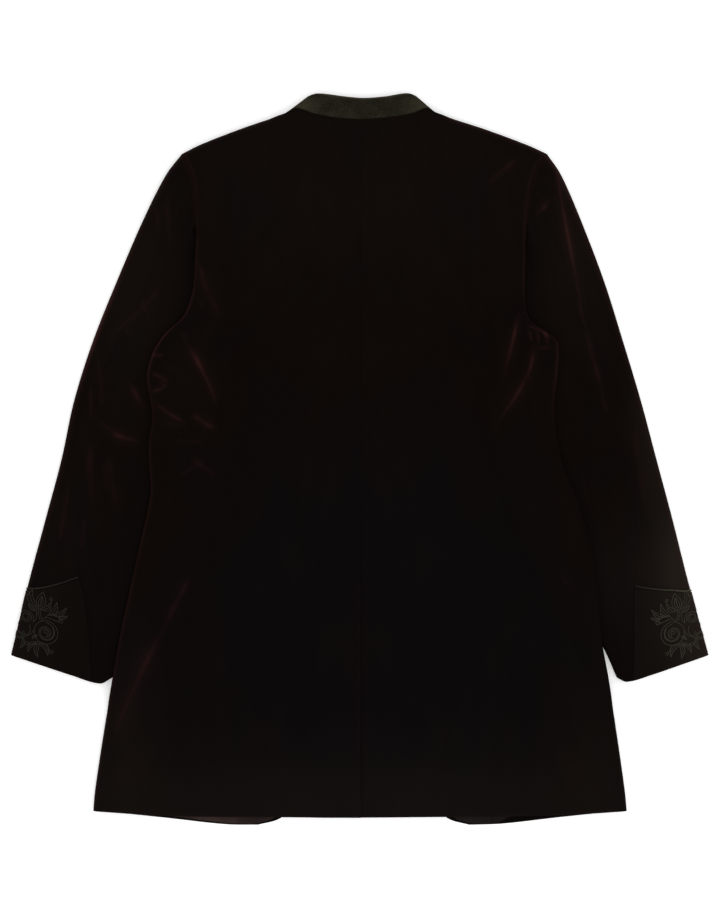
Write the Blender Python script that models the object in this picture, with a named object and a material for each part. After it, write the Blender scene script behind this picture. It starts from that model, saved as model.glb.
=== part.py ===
# Long velvet blazer laid flat, face down, with its back up.
# The script works in millimetres and divides by 1000 where a mesh is made.
# The floor is z = 0, +Y runs to the collar and +X to the right hand of the picture.
import math

import bpy

# Driving dimensions
WALL = 2.0                  # velvet with its lining
COLLAR_OPENING = 0.90       # share of each front neck that the collar runs along
COLLAR_WALL = 2.4           # wool felt
COLLAR_HALF = 95.0          # length of half the collar
COLLAR_ROWS = 3
LINING_WALL = 0.8
CUFF_WALL = 1.5
SEAM = 0.3                  # gap between two sewn pieces
BODY_THICK = 15.0           # laid thickness of the body
SHOULDER_RISE = 8.0         # extra thickness at the shoulders
SHOULDER_START_Y = 190.0    # where the extra thickness begins
SHOULDER_CLIMB = 130.0      # height over which it grows
NECK_RISE = 0.35            # share of it at the neck
NECK_REACH = 120.0          # distance from the centre where it is whole
SLEEVE_THICK = 13.0
SLEEVE_COVER = 1.8          # air between a sleeve and the front that lies on it
LAYER_GAP = 2.6             # air between front and back where they lie on a sleeve
EDGE_REACH = 8.0            # how far a folded edge rolls over, at most
CENTRE = 1.0                # x of the centre back seam
HEM_Y = -404.2              # hem at the side seams
TIP_Y = 351.3               # shoulder tips
CENTRE_HEM_Y = -411.5
CENTRE_NECK_Y = 391.2
VENT_TOP = -144.0
VENT_UNDERLAP = 36.0
VENT_LIFT = 2.6             # how far the upper panel rides over the underlap
VENT_EASE = 16.0            # width of the slope beside the underlap
VENT_MARGIN = 10.0
VENT_CLIMB = 22.0           # length of the slope above the vent's top
ROLL_END_Y = 172.0          # the side fold ends here and the armhole seam begins
ROLL_FADE = 40.0
BODY_ROWS = 19
HEM_ROWS = (0.0, 9.0, 20.0) # rows close together at the hem's corners
DEPART_Y = 215.0            # the sleeve slips under the body below this height
TUCK_Y = 190.0
LIFT_FLAT = 14.0            # the body is at full height this far past a hidden sleeve
LIFT_FALL = 24.0            # and reaches the floor after this much more
CUFF_START = 0.872          # share of the sleeve's length where the cuff begins on the floor
CUFF_RAISE = (0.785, 0.040) # where a sleeve's floor side begins to rise for it, over what share
CUFF_HEIGHT = 1.8           # a cuff's wall and its gap to the sleeve
CUFF_ROWS = 5
PIPING_WIDTH = 2.6
PIPING_HEIGHT = 1.5
PIPING_SIDES = 6
SLEEVE_HEAD = 0.30          # share of a sleeve's length that is as thick as the shoulder
HEAD_EDGE = 0.42            # and the share of its width where that begins to fade
HEAD_FADE = 0.26
SLEEVE_STATIONS = 20
FLOOR_COLUMNS = (0.08, 0.29, 0.50, 0.71, 0.92)      # shares of the width on the floor side
FOLD_CLEAR = 16.0           # sleeve folds fade out this far from the body's edge
LINING_HEIGHT = 0.13        # share of the front's length that the lining strip covers
LINING_INSET = 3.6          # velvet that shows below the lining
LINING_SIDE = 14.0
LINING_ROWS = 6
LINING_COLUMNS = 9
ROLL_ANGLES = (0.0, 35.0, 65.0)             # steps round a folded edge of the body
SLEEVE_FOLD_ANGLES = (60.0, 25.0)           # and round a sleeve's edges
SLEEVE_EDGE_ANGLE = 1.4     # half the gap between the pieces that meet in the middle of an edge
COLLAR_FOLD_ANGLES = (-60.0, -20.0, 20.0, 60.0)

# Shares of a panel's or a sleeve's width where its columns of faces stand
MOUTH_COLUMNS = (0.085, 0.1675, 0.25, 0.35, 0.45, 0.55, 0.65, 0.75, 0.85, 0.93)
NECK_SHARE = 0.55           # the shoulder takes this share of a back panel's upper edge
FRONT_NECK_SHARE = 0.50
SHOULDER_COLUMNS = 6
NECK_PLACES = (0.0, 0.07, 0.2, 0.36, 0.55, 0.76, 1.0)

# Sections of the body: height, left edge, right edge
BODY_SECTIONS = (
    (-404.2, -307.0, 307.0),
    (-380.0, -304.8, 304.6),
    (-311.0, -294.4, 294.8),
    (-250.0, -284.0, 285.2),
    (-204.0, -276.0, 277.0),
    (-151.0, -264.5, 272.5),
    (-98.3, -253.0, 264.5),
    (-39.7, -240.6, 246.5),
    (-9.8, -242.0, 234.0),
    (19.0, -242.6, 227.2),
    (48.9, -238.6, 223.4),
    (72.0, -241.5, 223.6),
    (96.0, -244.9, 226.5),
    (122.5, -238.0, 228.4),
    (137.0, -229.5, 226.0),
    (147.0, -221.5, 213.5),
    (158.0, -208.5, 197.0),
    (169.6, -199.8, 191.2),
    (201.8, -191.0, 189.4),
    (266.0, -188.6, 190.9),
    (304.0, -189.6, 194.3),
    (319.0, -190.9, 197.2),
    (336.4, -196.6, 203.4),
    (351.3, -204.7, 215.0),
)

# Shoulder line, back neck, front neck and front edge: points from the tip to the centre
SHOULDER = {
    "left": ((-204.7, 351.3), (-184.0, 361.7), (-140.3, 378.9), (-103.5, 391.6), (-86.5, 397.0)),
    "right": ((215.0, 351.3), (192.0, 361.7), (146.0, 378.9), (106.9, 391.6), (87.5, 398.0)),
}
BACK_NECK = {
    "left": ((-86.5, 397.0), (-73.6, 403.4), (-52.0, 397.4), (-24.1, 392.6), (1.0, 391.2)),
    "right": ((87.5, 398.0), (76.0, 403.4), (60.9, 398.0), (31.7, 393.4), (1.0, 391.2)),
}
FRONT_NECK = {
    "left": ((-86.5, 397.0), (-78.0, 375.0), (-61.0, 351.0), (-35.0, 332.0), (-1.0, 324.0)),
    "right": ((87.5, 398.0), (79.0, 375.0), (62.0, 351.0), (37.0, 332.0), (3.0, 324.0)),
}
COLLAR_TOP = ((-60.5, 417.0), (-48.0, 420.2), (-17.2, 416.9), (3.4, 415.2), (28.7, 416.9),
              (54.0, 420.4), (65.5, 417.0))
COLLAR_INSIDE = {
    "left": ((-60.5, 417.0), (-56.0, 388.0), (-44.0, 368.0), (-26.0, 355.0), (-1.0, 349.0)),
    "right": ((65.5, 417.0), (58.0, 388.0), (46.0, 368.0), (28.0, 355.0), (3.0, 349.0)),
}
BACK_HEM = {
    "left": ((-307.0, -404.2), (-224.2, -409.4), (-87.4, -411.1), (1.0, -411.5)),
    "right": ((307.0, -404.2), (230.0, -408.8), (117.3, -410.5), (1.0, -411.5)),
}
FRONT_HEM = {
    "left": ((-307.0, -404.2), (-224.2, -412.8), (-155.2, -420.3), (-117.3, -420.9)),
    "right": ((307.0, -404.2), (230.0, -412.2), (164.4, -419.6), (126.0, -421.0)),
}
FRONT_EDGE = {
    "left": ((-117.3, -420.9), (-92.0, -413.5), (-73.0, -393.0), (-62.0, -345.0),
             (-40.0, -190.0), (-12.0, -40.0), (-1.0, 60.0), (-1.0, 190.0), (-1.0, 324.0)),
    "right": ((126.0, -421.0), (101.0, -413.5), (82.0, -393.0), (70.0, -345.0),
              (46.0, -190.0), (16.0, -40.0), (3.0, 60.0), (3.0, 190.0), (3.0, 324.0)),
}

# Sleeves: outer edge from the shoulder tip to the cuff, hidden inner edge, cuff hem
SLEEVE_OUTER = {
    "left": ((-204.7, 351.3), (-223.1, 327.2), (-249.5, 275.4), (-279.4, 206.4), (-307.0, 137.4),
             (-328.9, 68.4), (-343.8, -0.6), (-362.2, -69.6), (-380.6, -138.6), (-401.3, -224.8)),
    "right": ((215.0, 351.3), (231.1, 327.2), (254.1, 275.4), (280.6, 206.4), (302.4, 137.4),
              (323.1, 68.4), (341.5, -0.6), (359.9, -69.6), (377.2, -138.6), (400.8, -224.8)),
}
SLEEVE_INNER = {
    "left": ((-178.0, 190.0), (-172.0, 130.0), (-166.0, 70.0), (-171.0, 0.0), (-189.0, -60.0),
             (-212.0, -118.0), (-238.0, -172.0), (-264.0, -216.0), (-285.0, -251.0)),
    "right": ((177.0, 190.0), (173.0, 130.0), (167.0, 70.0), (175.0, 10.0), (194.0, -50.0),
              (217.0, -110.0), (247.0, -165.0), (279.0, -215.0), (295.5, -251.0)),
}
CUFF_HEM = {
    "left": ((-401.3, -224.8), (-365.7, -236.8), (-332.3, -247.8), (-299.0, -257.6),
             (-285.0, -251.0)),
    "right": ((400.8, -224.8), (368.0, -236.3), (335.8, -247.4), (307.0, -255.6), (295.5, -251.0)),
}
# Elbow seam: share of the length, share of the width from the outer edge
ELBOW_SEAM = {
    "left": ((0.0, 0.25), (0.30, 0.16), (0.62, 0.05), (0.74, 0.17), (0.84, 0.46), (1.0, 0.80)),
    "right": ((0.0, 0.25), (0.30, 0.17), (0.50, 0.10), (0.66, 0.15), (0.84, 0.52), (1.0, 0.83)),
}

# Upper edge of a cuff: share of the way to the elbow seam, share of the sleeve's length
CUFF_EDGE = {
    "left": ((0.0, 0.8720), (0.13, 0.8640), (0.27, 0.8540), (0.43, 0.8410), (0.63, 0.8265),
             (0.80, 0.8150), (1.0, 0.8045)),
    "right": ((0.0, 0.8735), (0.11, 0.8680), (0.23, 0.8600), (0.40, 0.8495), (0.57, 0.8385),
              (0.77, 0.8255), (1.0, 0.8105)),
}

# Folds: start, bend, end, height, half width
BACK_FOLDS = (
    ((-204.0, 141.0), (-178.0, 104.0), (-162.0, 58.0), 4.2, 10.0),
    ((-190.0, 226.0), (-174.0, 192.0), (-156.0, 154.0), 1.6, 12.0),
    ((-238.0, 52.0), (-222.0, 40.0), (-192.0, 37.0), 3.0, 9.0),
    ((-196.0, 56.0), (-182.0, 42.0), (-160.0, 33.0), 2.2, 10.0),
    ((-198.0, 4.0), (-182.0, -6.0), (-162.0, -20.0), 2.0, 11.0),
    ((-180.0, -112.0), (-226.0, -190.0), (-288.0, -326.0), 2.6, 17.0),
    ((184.0, 176.0), (176.0, 136.0), (160.0, 80.0), 4.0, 10.0),
    ((201.0, 134.0), (198.0, 92.0), (156.0, 42.0), 4.0, 11.0),
    ((186.0, 350.0), (166.0, 334.0), (142.0, 312.0), 1.6, 10.0),
    ((-70.0, 250.0), (-64.0, 60.0), (-78.0, -120.0), 1.2, 24.0),
    ((74.0, 250.0), (66.0, 60.0), (82.0, -120.0), 1.2, 24.0),
    ((200.0, -300.0), (232.0, -340.0), (262.0, -372.0), 1.6, 14.0),
    ((-262.0, -345.0), (-274.0, -362.0), (-290.0, -372.0), 1.6, 12.0),
)
SLEEVE_FOLDS = {
    "left": (
        ((-223.0, 312.0), (-220.0, 275.0), (-217.0, 236.0), 2.0, 10.0),
        ((-221.0, 208.0), (-250.0, 168.0), (-298.0, 134.0), 3.2, 12.0),
        ((-302.0, 130.0), (-300.0, 103.0), (-296.0, 78.0), 2.4, 9.0),
        ((-306.0, 60.0), (-300.0, 30.0), (-250.0, 21.0), 3.6, 10.0),
        ((-268.0, 92.0), (-258.0, 74.0), (-250.0, 60.0), 2.0, 9.0),
        ((-310.0, 25.0), (-309.0, -12.0), (-308.0, -60.0), 2.2, 10.0),
        ((-290.0, 12.0), (-286.0, -22.0), (-278.0, -64.0), 1.8, 10.0),
    ),
    "right": (
        ((222.0, 342.0), (240.0, 250.0), (257.0, 160.0), 3.6, 11.0),
        ((257.0, 160.0), (268.0, 110.0), (280.0, 76.0), 3.0, 9.0),
        ((196.0, 284.0), (209.0, 288.0), (216.0, 306.0), 2.6, 9.0),
        ((313.0, 50.0), (321.0, 4.0), (327.0, -66.0), 2.2, 10.0),
    ),
}

# Colours and finish: base colour, roughness
FINISH = {
    "velvet": ((0.0075, 0.0036, 0.0042, 1.0), 0.82),
    "felt": ((0.0135, 0.0130, 0.0075, 1.0), 0.95),
    "cuff": ((0.0095, 0.0060, 0.0055, 1.0), 0.85),
    "cord": ((0.0180, 0.0165, 0.0120, 1.0), 0.80),
    "satin": ((0.0260, 0.0150, 0.0130, 1.0), 0.45),
}
MILLIMETRE = 0.001


def smooth(value):
    value = min(max(value, 0.0), 1.0)
    return value * value * (3.0 - 2.0 * value)


def mix(a, b, share):
    return a + (b - a) * share


def between(p, q, share):
    return (mix(p[0], q[0], share), mix(p[1], q[1], share))


def table_value(rows, key, column=1):
    # smooth cubic through the rows of a table, by its first column
    last = len(rows) - 1
    if key <= rows[0][0]:
        return rows[0][column]
    if key >= rows[last][0]:
        return rows[last][column]
    i = 0
    while rows[i + 1][0] < key:
        i += 1

    def slope(k):
        low, high = max(k - 1, 0), min(k + 1, last)
        return (rows[high][column] - rows[low][column]) / (rows[high][0] - rows[low][0])

    step = rows[i + 1][0] - rows[i][0]
    t = (key - rows[i][0]) / step
    a, b = rows[i][column], rows[i + 1][column]
    ma, mb = slope(i) * step, slope(i + 1) * step
    return (a * (2 * t ** 3 - 3 * t ** 2 + 1) + ma * (t ** 3 - 2 * t ** 2 + t)
            + b * (3 * t ** 2 - 2 * t ** 3) + mb * (t ** 3 - t ** 2))


def curve(points):
    # a smooth line through points, taken by its share of length
    lengths = [0.0]
    for p, q in zip(points, points[1:]):
        lengths.append(lengths[-1] + math.dist(p, q))
    rows_x = [(a / lengths[-1], p[0]) for a, p in zip(lengths, points)]
    rows_y = [(a / lengths[-1], p[1]) for a, p in zip(lengths, points)]

    def at(share):
        return (table_value(rows_x, share), table_value(rows_y, share))

    at.length = lengths[-1]
    return at


def distance_to_line(point, line):
    best = 1e9
    for (ax, ay), (bx, by) in zip(line, line[1:]):
        dx, dy = bx - ax, by - ay
        t = ((point[0] - ax) * dx + (point[1] - ay) * dy) / (dx * dx + dy * dy)
        t = min(max(t, 0.0), 1.0)
        best = min(best, math.hypot(point[0] - ax - t * dx, point[1] - ay - t * dy))
    return best


def is_inside(point, outline):
    inside = False
    for (ax, ay), (bx, by) in zip(outline, outline[1:] + outline[:1]):
        if (ay > point[1]) != (by > point[1]):
            if point[0] < ax + (point[1] - ay) * (bx - ax) / (by - ay):
                inside = not inside
    return inside


def fold_height(point, folds):
    # each fold is a soft ridge along a bend, dying out at both ends
    height = 0.0
    for start, bend, end, rise, reach in folds:
        best, place = 1e9, 0.0
        for k in range(13):
            t = k / 12
            p = between(between(start, bend, t), between(bend, end, t), t)
            d = math.dist(point, p)
            if d < best:
                best, place = d, t
        ends = smooth(place / 0.2 + 0.25) * smooth((1.0 - place) / 0.2 + 0.25)
        height += rise * ends * math.exp(-(best / reach) ** 2)
    return height


def body_edge(side, y):
    column = 1 if side == "left" else 2
    return table_value(BODY_SECTIONS, y, column)


def outward(side):
    return -1.0 if side == "left" else 1.0


def sleeve_mouth(side, u):
    # along the armhole from the shoulder tip, then under the body to the inner edge
    y = mix(TIP_Y, TUCK_Y, u)
    x = body_edge(side, y)
    if y < DEPART_Y:
        share = smooth((DEPART_Y - y) / (DEPART_Y - TUCK_Y))
        x = mix(x, SLEEVE_INNER[side][0][0], share)
    return (x + outward(side) * 0.5 * SEAM, y)


OUTER_LINE = {side: curve(points) for side, points in SLEEVE_OUTER.items()}
INNER_LINE = {side: curve(points) for side, points in SLEEVE_INNER.items()}
HEM_LINE = {side: curve(points) for side, points in CUFF_HEM.items()}
STEPS = [k / 24 for k in range(25)]
HIDDEN_LINE = {
    side: [sleeve_mouth(side, u) for u in (0.85, 0.92, 1.0)]
    + [INNER_LINE[side](t) for t in STEPS[1:]]
    + [HEM_LINE[side](1.0 - t) for t in STEPS[1:]]
    for side in ("left", "right")
}
SLEEVE_OUTLINE = {
    side: [sleeve_mouth(side, t) for t in STEPS]
    + [INNER_LINE[side](t) for t in STEPS[1:]]
    + [HEM_LINE[side](1.0 - t) for t in STEPS[1:]]
    + [OUTER_LINE[side](1.0 - t) for t in STEPS[1:-1]]
    for side in ("left", "right")
}


def patch(bottom, top, left, right, u, v):
    # a surface stretched between four edges
    along = between(bottom(u), top(u), v)
    across = between(left(v), right(v), u)
    corners = between(between(bottom(0.0), bottom(1.0), u), between(top(0.0), top(1.0), u), v)
    return (along[0] + across[0] - corners[0], along[1] + across[1] - corners[1])


# Heights of the body
def cover(point):
    # 1 where the body lies on a sleeve, 0 where it lies on the floor
    side = "left" if point[0] < 0.0 else "right"
    if is_inside(point, SLEEVE_OUTLINE[side]):
        return 1.0
    away = distance_to_line(point, HIDDEN_LINE[side])
    return 1.0 - smooth((away - LIFT_FLAT) / LIFT_FALL)


def body_bottom(point):
    return (SLEEVE_THICK + SLEEVE_COVER) * cover(point)


def plain_top(point):
    rise = SHOULDER_RISE * smooth((point[1] - SHOULDER_START_Y) / SHOULDER_CLIMB)
    return BODY_THICK + rise * mix(NECK_RISE, 1.0, smooth(abs(point[0]) / NECK_REACH))


def body_top(point):
    on_sleeve = SLEEVE_THICK + SLEEVE_COVER + 2.0 * WALL + LAYER_GAP
    return plain_top(point) + max(on_sleeve - BODY_THICK, 0.0) * cover(point)


def vent_lift(point):
    start = CENTRE - VENT_UNDERLAP - VENT_MARGIN - VENT_EASE
    across = smooth((point[0] - start) / VENT_EASE)
    along = smooth((VENT_TOP + VENT_CLIMB - point[1]) / VENT_CLIMB)
    return VENT_LIFT * across * along


def side_roll(y):
    # the side's folded edge opens out into the armhole seam
    return 1.0 - smooth((y - ROLL_END_Y) / ROLL_FADE)


# Heights of a sleeve
def sleeve_bottom(s):
    start, span = CUFF_RAISE
    return CUFF_HEIGHT * smooth((s - start) / span)


def sleeve_top(side, point, u, s):
    head = (1.0 - smooth(s / SLEEVE_HEAD)) * (1.0 - smooth((u - HEAD_EDGE) / HEAD_FADE))
    top = SLEEVE_THICK + (plain_top(point) - SLEEVE_THICK) * head
    beyond = outward(side) * (point[0] - body_edge(side, point[1]))
    if s == 0.0:
        beyond = 0.0
    clear = smooth((beyond - 2.0) / FOLD_CLEAR) * smooth((CUFF_START - s) / 0.05)
    return top + fold_height(point, SLEEVE_FOLDS[side]) * clear


# Meshes
def make_material(name, finish):
    material = bpy.data.materials.new(name)
    material.use_nodes = True
    colour, roughness = FINISH[finish]
    shader = material.node_tree.nodes["Principled BSDF"]
    shader.inputs["Base Color"].default_value = colour
    shader.inputs["Roughness"].default_value = roughness
    shader.inputs["Metallic"].default_value = 0.0
    return material


def make_object(name, vertices, faces, finish):
    mesh = bpy.data.meshes.new(name)
    mesh.from_pydata([tuple(c * MILLIMETRE for c in v) for v in vertices], [], faces)
    mesh.validate()
    piece = bpy.data.objects.new(name, mesh)
    bpy.context.scene.collection.objects.link(piece)
    mesh.materials.append(make_material(name, finish))
    mesh.shade_smooth()
    return piece


def sheet(name, outer, inner, finish, skip=(), flip=False):
    # a closed wall between two grids of points; skip leaves cells out
    rows, columns = len(outer), len(outer[0])
    number = {}
    vertices = []

    def vertex(layer, i, j):
        key = (layer, i, j)
        if key not in number:
            number[key] = len(vertices)
            vertices.append((outer if layer == 0 else inner)[i][j])
        return number[key]

    faces = []
    edges = {}
    for i in range(rows - 1):
        for j in range(columns - 1):
            if (i, j) in skip:
                continue
            corners = [(i, j), (i, j + 1), (i + 1, j + 1), (i + 1, j)]
            faces.append([vertex(0, *c) for c in corners])
            faces.append([vertex(1, *c) for c in reversed(corners)])
            for a, b in zip(corners, corners[1:] + corners[:1]):
                edges[(a, b)] = (b, a) not in edges
                if not edges[(a, b)]:
                    edges[(b, a)] = False
    for (a, b), is_rim in edges.items():
        if is_rim:
            faces.append([vertex(0, *b), vertex(0, *a), vertex(1, *a), vertex(1, *b)])
    if flip:
        faces = [list(reversed(face)) for face in faces]
    return make_object(name, vertices, faces, finish)


# Body panels
def body_rows():
    # shares of the side's height; the rows at the armhole are those of the sleeve's columns
    span = TIP_Y - HEM_Y
    low = [HEM_Y + y for y in HEM_ROWS]
    low += [mix(HEM_Y, ROLL_END_Y, k / BODY_ROWS) for k in range(1, BODY_ROWS + 1)]
    high = [mix(TIP_Y, TUCK_Y, u) for u in reversed(MOUTH_COLUMNS)]
    roll = [TIP_Y - EDGE_REACH * (1.0 - math.cos(math.radians(a))) for a in reversed(ROLL_ANGLES)]
    return [((y - HEM_Y) / span, 90.0) for y in low + high] + [
        ((y - HEM_Y) / span, angle) for y, angle in zip(roll, reversed(ROLL_ANGLES))
    ]


def top_line(side, neck, share):
    shoulder, collar_seam = curve(SHOULDER[side]), curve(neck[side])

    def at(u):
        if u <= share:
            return shoulder(u / share)
        return collar_seam((u - share) / (1.0 - share))

    return at


def body_panel(side, is_back):
    share = NECK_SHARE if is_back else FRONT_NECK_SHARE
    top = top_line(side, BACK_NECK if is_back else FRONT_NECK, share)
    bottom = curve((BACK_HEM if is_back else FRONT_HEM)[side])
    edge_line = curve(FRONT_EDGE[side])

    def left(v):
        y = mix(HEM_Y, TIP_Y, v)
        gap = 0.5 * SEAM * smooth((y - ROLL_END_Y) / 20.0)
        return (body_edge(side, y) - outward(side) * gap, y)

    def right(v):
        if is_back:
            return (CENTRE, mix(CENTRE_HEM_Y, CENTRE_NECK_Y, v))
        return edge_line(v)

    columns = [(0.0, a) for a in ROLL_ANGLES]
    columns += [(share * k / SHOULDER_COLUMNS, 90.0) for k in range(1, SHOULDER_COLUMNS)]
    columns += [(mix(share, 1.0, place), 90.0) for place in NECK_PLACES]
    outer, inner = [], []
    for v, top_angle in body_rows():
        y = mix(HEM_Y, TIP_Y, v)
        edge = left(v)
        half_edge = 0.5 * (body_top(edge) - body_bottom(edge))
        reach = min(half_edge, EDGE_REACH)
        width = math.dist(left(v), right(v))
        rolled = side_roll(y)
        outer_row, inner_row = [], []
        for u, side_angle in columns:
            side_cos = math.cos(math.radians(side_angle))
            top_cos = math.cos(math.radians(top_angle))
            over_shoulder = 1.0 - smooth((u - share + 0.09) / 0.08)
            if side_angle < 90.0:
                u = reach * (1.0 - side_cos) / width
            inner_u = u + rolled * WALL * side_cos / width
            inner_v = v - over_shoulder * WALL * top_cos / (TIP_Y - HEM_Y)
            lift = mix(1.0, math.sin(math.radians(side_angle)), rolled)
            lift *= mix(1.0, math.sin(math.radians(top_angle)), over_shoulder)
            for row, pu, pv, wall in ((outer_row, u, v, 0.0), (inner_row, inner_u, inner_v, WALL)):
                point = patch(bottom, top, left, right, pu, pv)
                low, high = body_bottom(point), body_top(point)
                middle, half = 0.5 * (low + high), 0.5 * (high - low)
                half = max(half - wall, 0.1) * lift
                if is_back:
                    z = middle + half + 0.5 * SEAM * (1.0 - lift)
                    z += fold_height(point, BACK_FOLDS) * lift
                    if side == "left":
                        z += vent_lift(point)
                else:
                    z = middle - half - 0.5 * SEAM * (1.0 - lift)
                x = point[0]
                gap = 0.5 * SEAM * smooth((pu - 0.9) / 0.1)
                row.append((x + outward(side) * gap, point[1], z))
        outer.append(outer_row)
        inner.append(inner_row)
    return outer, inner


def add_underlap(outer, inner):
    # the right back panel runs on under the left one below the vent's top
    first = next(i for i, row in enumerate(outer) if row[-1][1] > VENT_TOP)
    strips = 2
    for i in range(len(outer)):
        for grid, wall in ((outer, 0.0), (inner, WALL)):
            y = grid[i][-1][1]
            for k in range(1, strips + 1):
                x = CENTRE - VENT_UNDERLAP * k / strips
                grid[i].append((x, y, body_top((x, y)) - wall))
    columns = len(outer[0])
    return {(i, j) for i in range(first - 1, len(outer) - 1)
            for j in range(columns - 1 - strips, columns - 1)}


def make_body():
    for side in ("left", "right"):
        flip = side == "left"
        outer, inner = body_panel(side, True)
        skip = add_underlap(outer, inner) if side == "right" else ()
        sheet("back_" + side, outer, inner, "velvet", skip, not flip)
        outer, inner = body_panel(side, False)
        sheet("front_" + side, outer, inner, "velvet", (), flip)


# Sleeves, cuffs and collar are flattened tubes. A sleeve's top piece is folded at its
# outer edge: its shown part is sleeve_top and the part on the floor is sleeve_front
def sleeve_point(side, u, s):
    return patch(lambda t: sleeve_mouth(side, t), HEM_LINE[side],
                 OUTER_LINE[side], INNER_LINE[side], u, s)


def fold_size(side, s, edge):
    # the sleeve's width at this share of its length, and how far its folded edge reaches in
    width = math.dist(sleeve_point(side, 0.0, s), sleeve_point(side, 1.0, s))
    if s == 0.0:
        width = TIP_Y - TUCK_Y
    point = sleeve_point(side, float(edge), s)
    half = 0.5 * (sleeve_top(side, point, edge, s) - sleeve_bottom(s))
    return width, min(half, EDGE_REACH)


def tube_place(side, column, s, offset):
    # column: share of the width, angle round the fold, which edge the fold is at
    u, angle, edge = column
    width, reach = fold_size(side, s, edge)
    low = sleeve_bottom(s)
    cos, sin = math.cos(math.radians(angle)), math.sin(math.radians(angle))
    if abs(angle) < 90.0:
        d = (reach - (reach + offset) * cos) / width
        u = d if edge == 0 else 1.0 - d
    point = sleeve_point(side, u, s)
    high = sleeve_top(side, point, u, s)
    middle, half = 0.5 * (low + high), 0.5 * (high - low)
    return (point[0], point[1], middle + (half + offset) * sin)


def loop_columns(side, s, name):
    # the columns of one piece of a sleeve, or of its cuff, round the tube
    seam = table_value(ELBOW_SEAM[side], s)
    width, reach = fold_size(side, s, 0)
    gap = 0.5 * SEAM / width
    seam_start = ELBOW_SEAM[side][0][1]
    if name == "under":
        columns = [(1.0, a, 1) for a in (SLEEVE_EDGE_ANGLE,) + SLEEVE_FOLD_ANGLES[::-1]]
        shares = [(u - seam_start) / (1.0 - seam_start) for u in MOUTH_COLUMNS
                  if u >= seam_start - 1e-6]
        columns += [(mix(seam, 1.0, share) + (gap if share < 0.01 else 0.0), 90.0, 1)
                    for share in reversed(shares)]
        return columns
    fold, first_fold = reach / width, EDGE_REACH / (TIP_Y - TUCK_Y)
    shares = [(u - first_fold) / (seam_start - first_fold) for u in MOUTH_COLUMNS
              if u <= seam_start + 1e-6]
    above = [(mix(fold, seam, share) - (gap if share > 0.99 else 0.0), 90.0, 0)
             for share in reversed(shares)]
    angles = SLEEVE_FOLD_ANGLES + (SLEEVE_EDGE_ANGLE,)
    above += [(0.0, a, 0) for a in angles]
    below = [(0.0, -a, 0) for a in reversed(angles)]
    below += [(u, -90.0, 1) for u in FLOOR_COLUMNS]
    if name == "top":
        return above
    if name == "front":
        return below + [(1.0, -a, 1) for a in angles]
    return above + below


def make_sleeves():
    for side in ("left", "right"):
        for name in ("top", "front", "under"):
            outer, inner = [], []
            for k in range(SLEEVE_STATIONS + 1):
                s = k / SLEEVE_STATIONS
                columns = loop_columns(side, s, name)
                outer.append([tube_place(side, c, s, 0.0) for c in columns])
                inner.append([tube_place(side, c, s, -WALL) for c in columns])
            sheet("sleeve_" + name + "_" + side, outer, inner, "velvet", (), side == "right")


def cuff_starts(side):
    # where the cuff begins, as a share of the length, for each column round the tube
    seam = table_value(ELBOW_SEAM[side], CUFF_START)
    width, reach = fold_size(side, CUFF_START, 0)
    starts = []
    for u, angle, _ in loop_columns(side, CUFF_START, "cuff"):
        if abs(angle) < 90.0:
            u = (1.0 - math.cos(math.radians(angle))) * reach / width
        shown = u / seam if angle > 0.0 else 0.0
        starts.append(table_value(CUFF_EDGE[side], shown))
    return starts


def make_cuffs():
    for side in ("left", "right"):
        outer, inner = [], []
        border = (0.5 * PIPING_WIDTH + SEAM) / OUTER_LINE[side].length
        starts = cuff_starts(side)
        for k in range(CUFF_ROWS + 1):
            row = []
            for j, start in enumerate(starts):
                s = mix(start + border, 1.0, k / CUFF_ROWS)
                row.append((loop_columns(side, s, "cuff")[j], s))
            outer.append([tube_place(side, c, s, SEAM + CUFF_WALL) for c, s in row])
            inner.append([tube_place(side, c, s, SEAM) for c, s in row])
        sheet("cuff_" + side, outer, inner, "cuff", (), side == "right")


def make_piping():
    sides = PIPING_SIDES
    for side in ("left", "right"):
        vertices, faces = [], []
        starts = cuff_starts(side)
        for j, start in enumerate(starts):
            column = loop_columns(side, start, "cuff")[j]
            for k in range(sides):
                angle = 2.0 * math.pi * k / sides
                along = 0.5 * PIPING_WIDTH * math.cos(angle) / OUTER_LINE[side].length
                out = SEAM + 0.5 * PIPING_HEIGHT * (1.0 + math.sin(angle))
                vertices.append(tube_place(side, column, start + along, out))
        for j in range(len(starts) - 1):
            for k in range(sides):
                a, b = j * sides + k, j * sides + (k + 1) % sides
                faces.append([a, b, b + sides, a + sides])
        faces.append(list(reversed(range(sides))))
        faces.append([(len(starts) - 1) * sides + k for k in range(sides)])
        if side == "right":
            faces = [list(reversed(face)) for face in faces]
        make_object("cuff_piping_" + side, vertices, faces, "cord")


def collar_point(side, u, v, is_back):
    seam = curve((BACK_NECK if is_back else FRONT_NECK)[side])(u)
    if is_back:
        ends = COLLAR_TOP if side == "left" else COLLAR_TOP[::-1]
        rim = curve(ends)(0.5 * u)
    else:
        rim = curve(COLLAR_INSIDE[side])(u)
    length = math.dist(seam, rim)
    return between(seam, rim, mix(1.5 * SEAM / length, 1.0, v))


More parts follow.
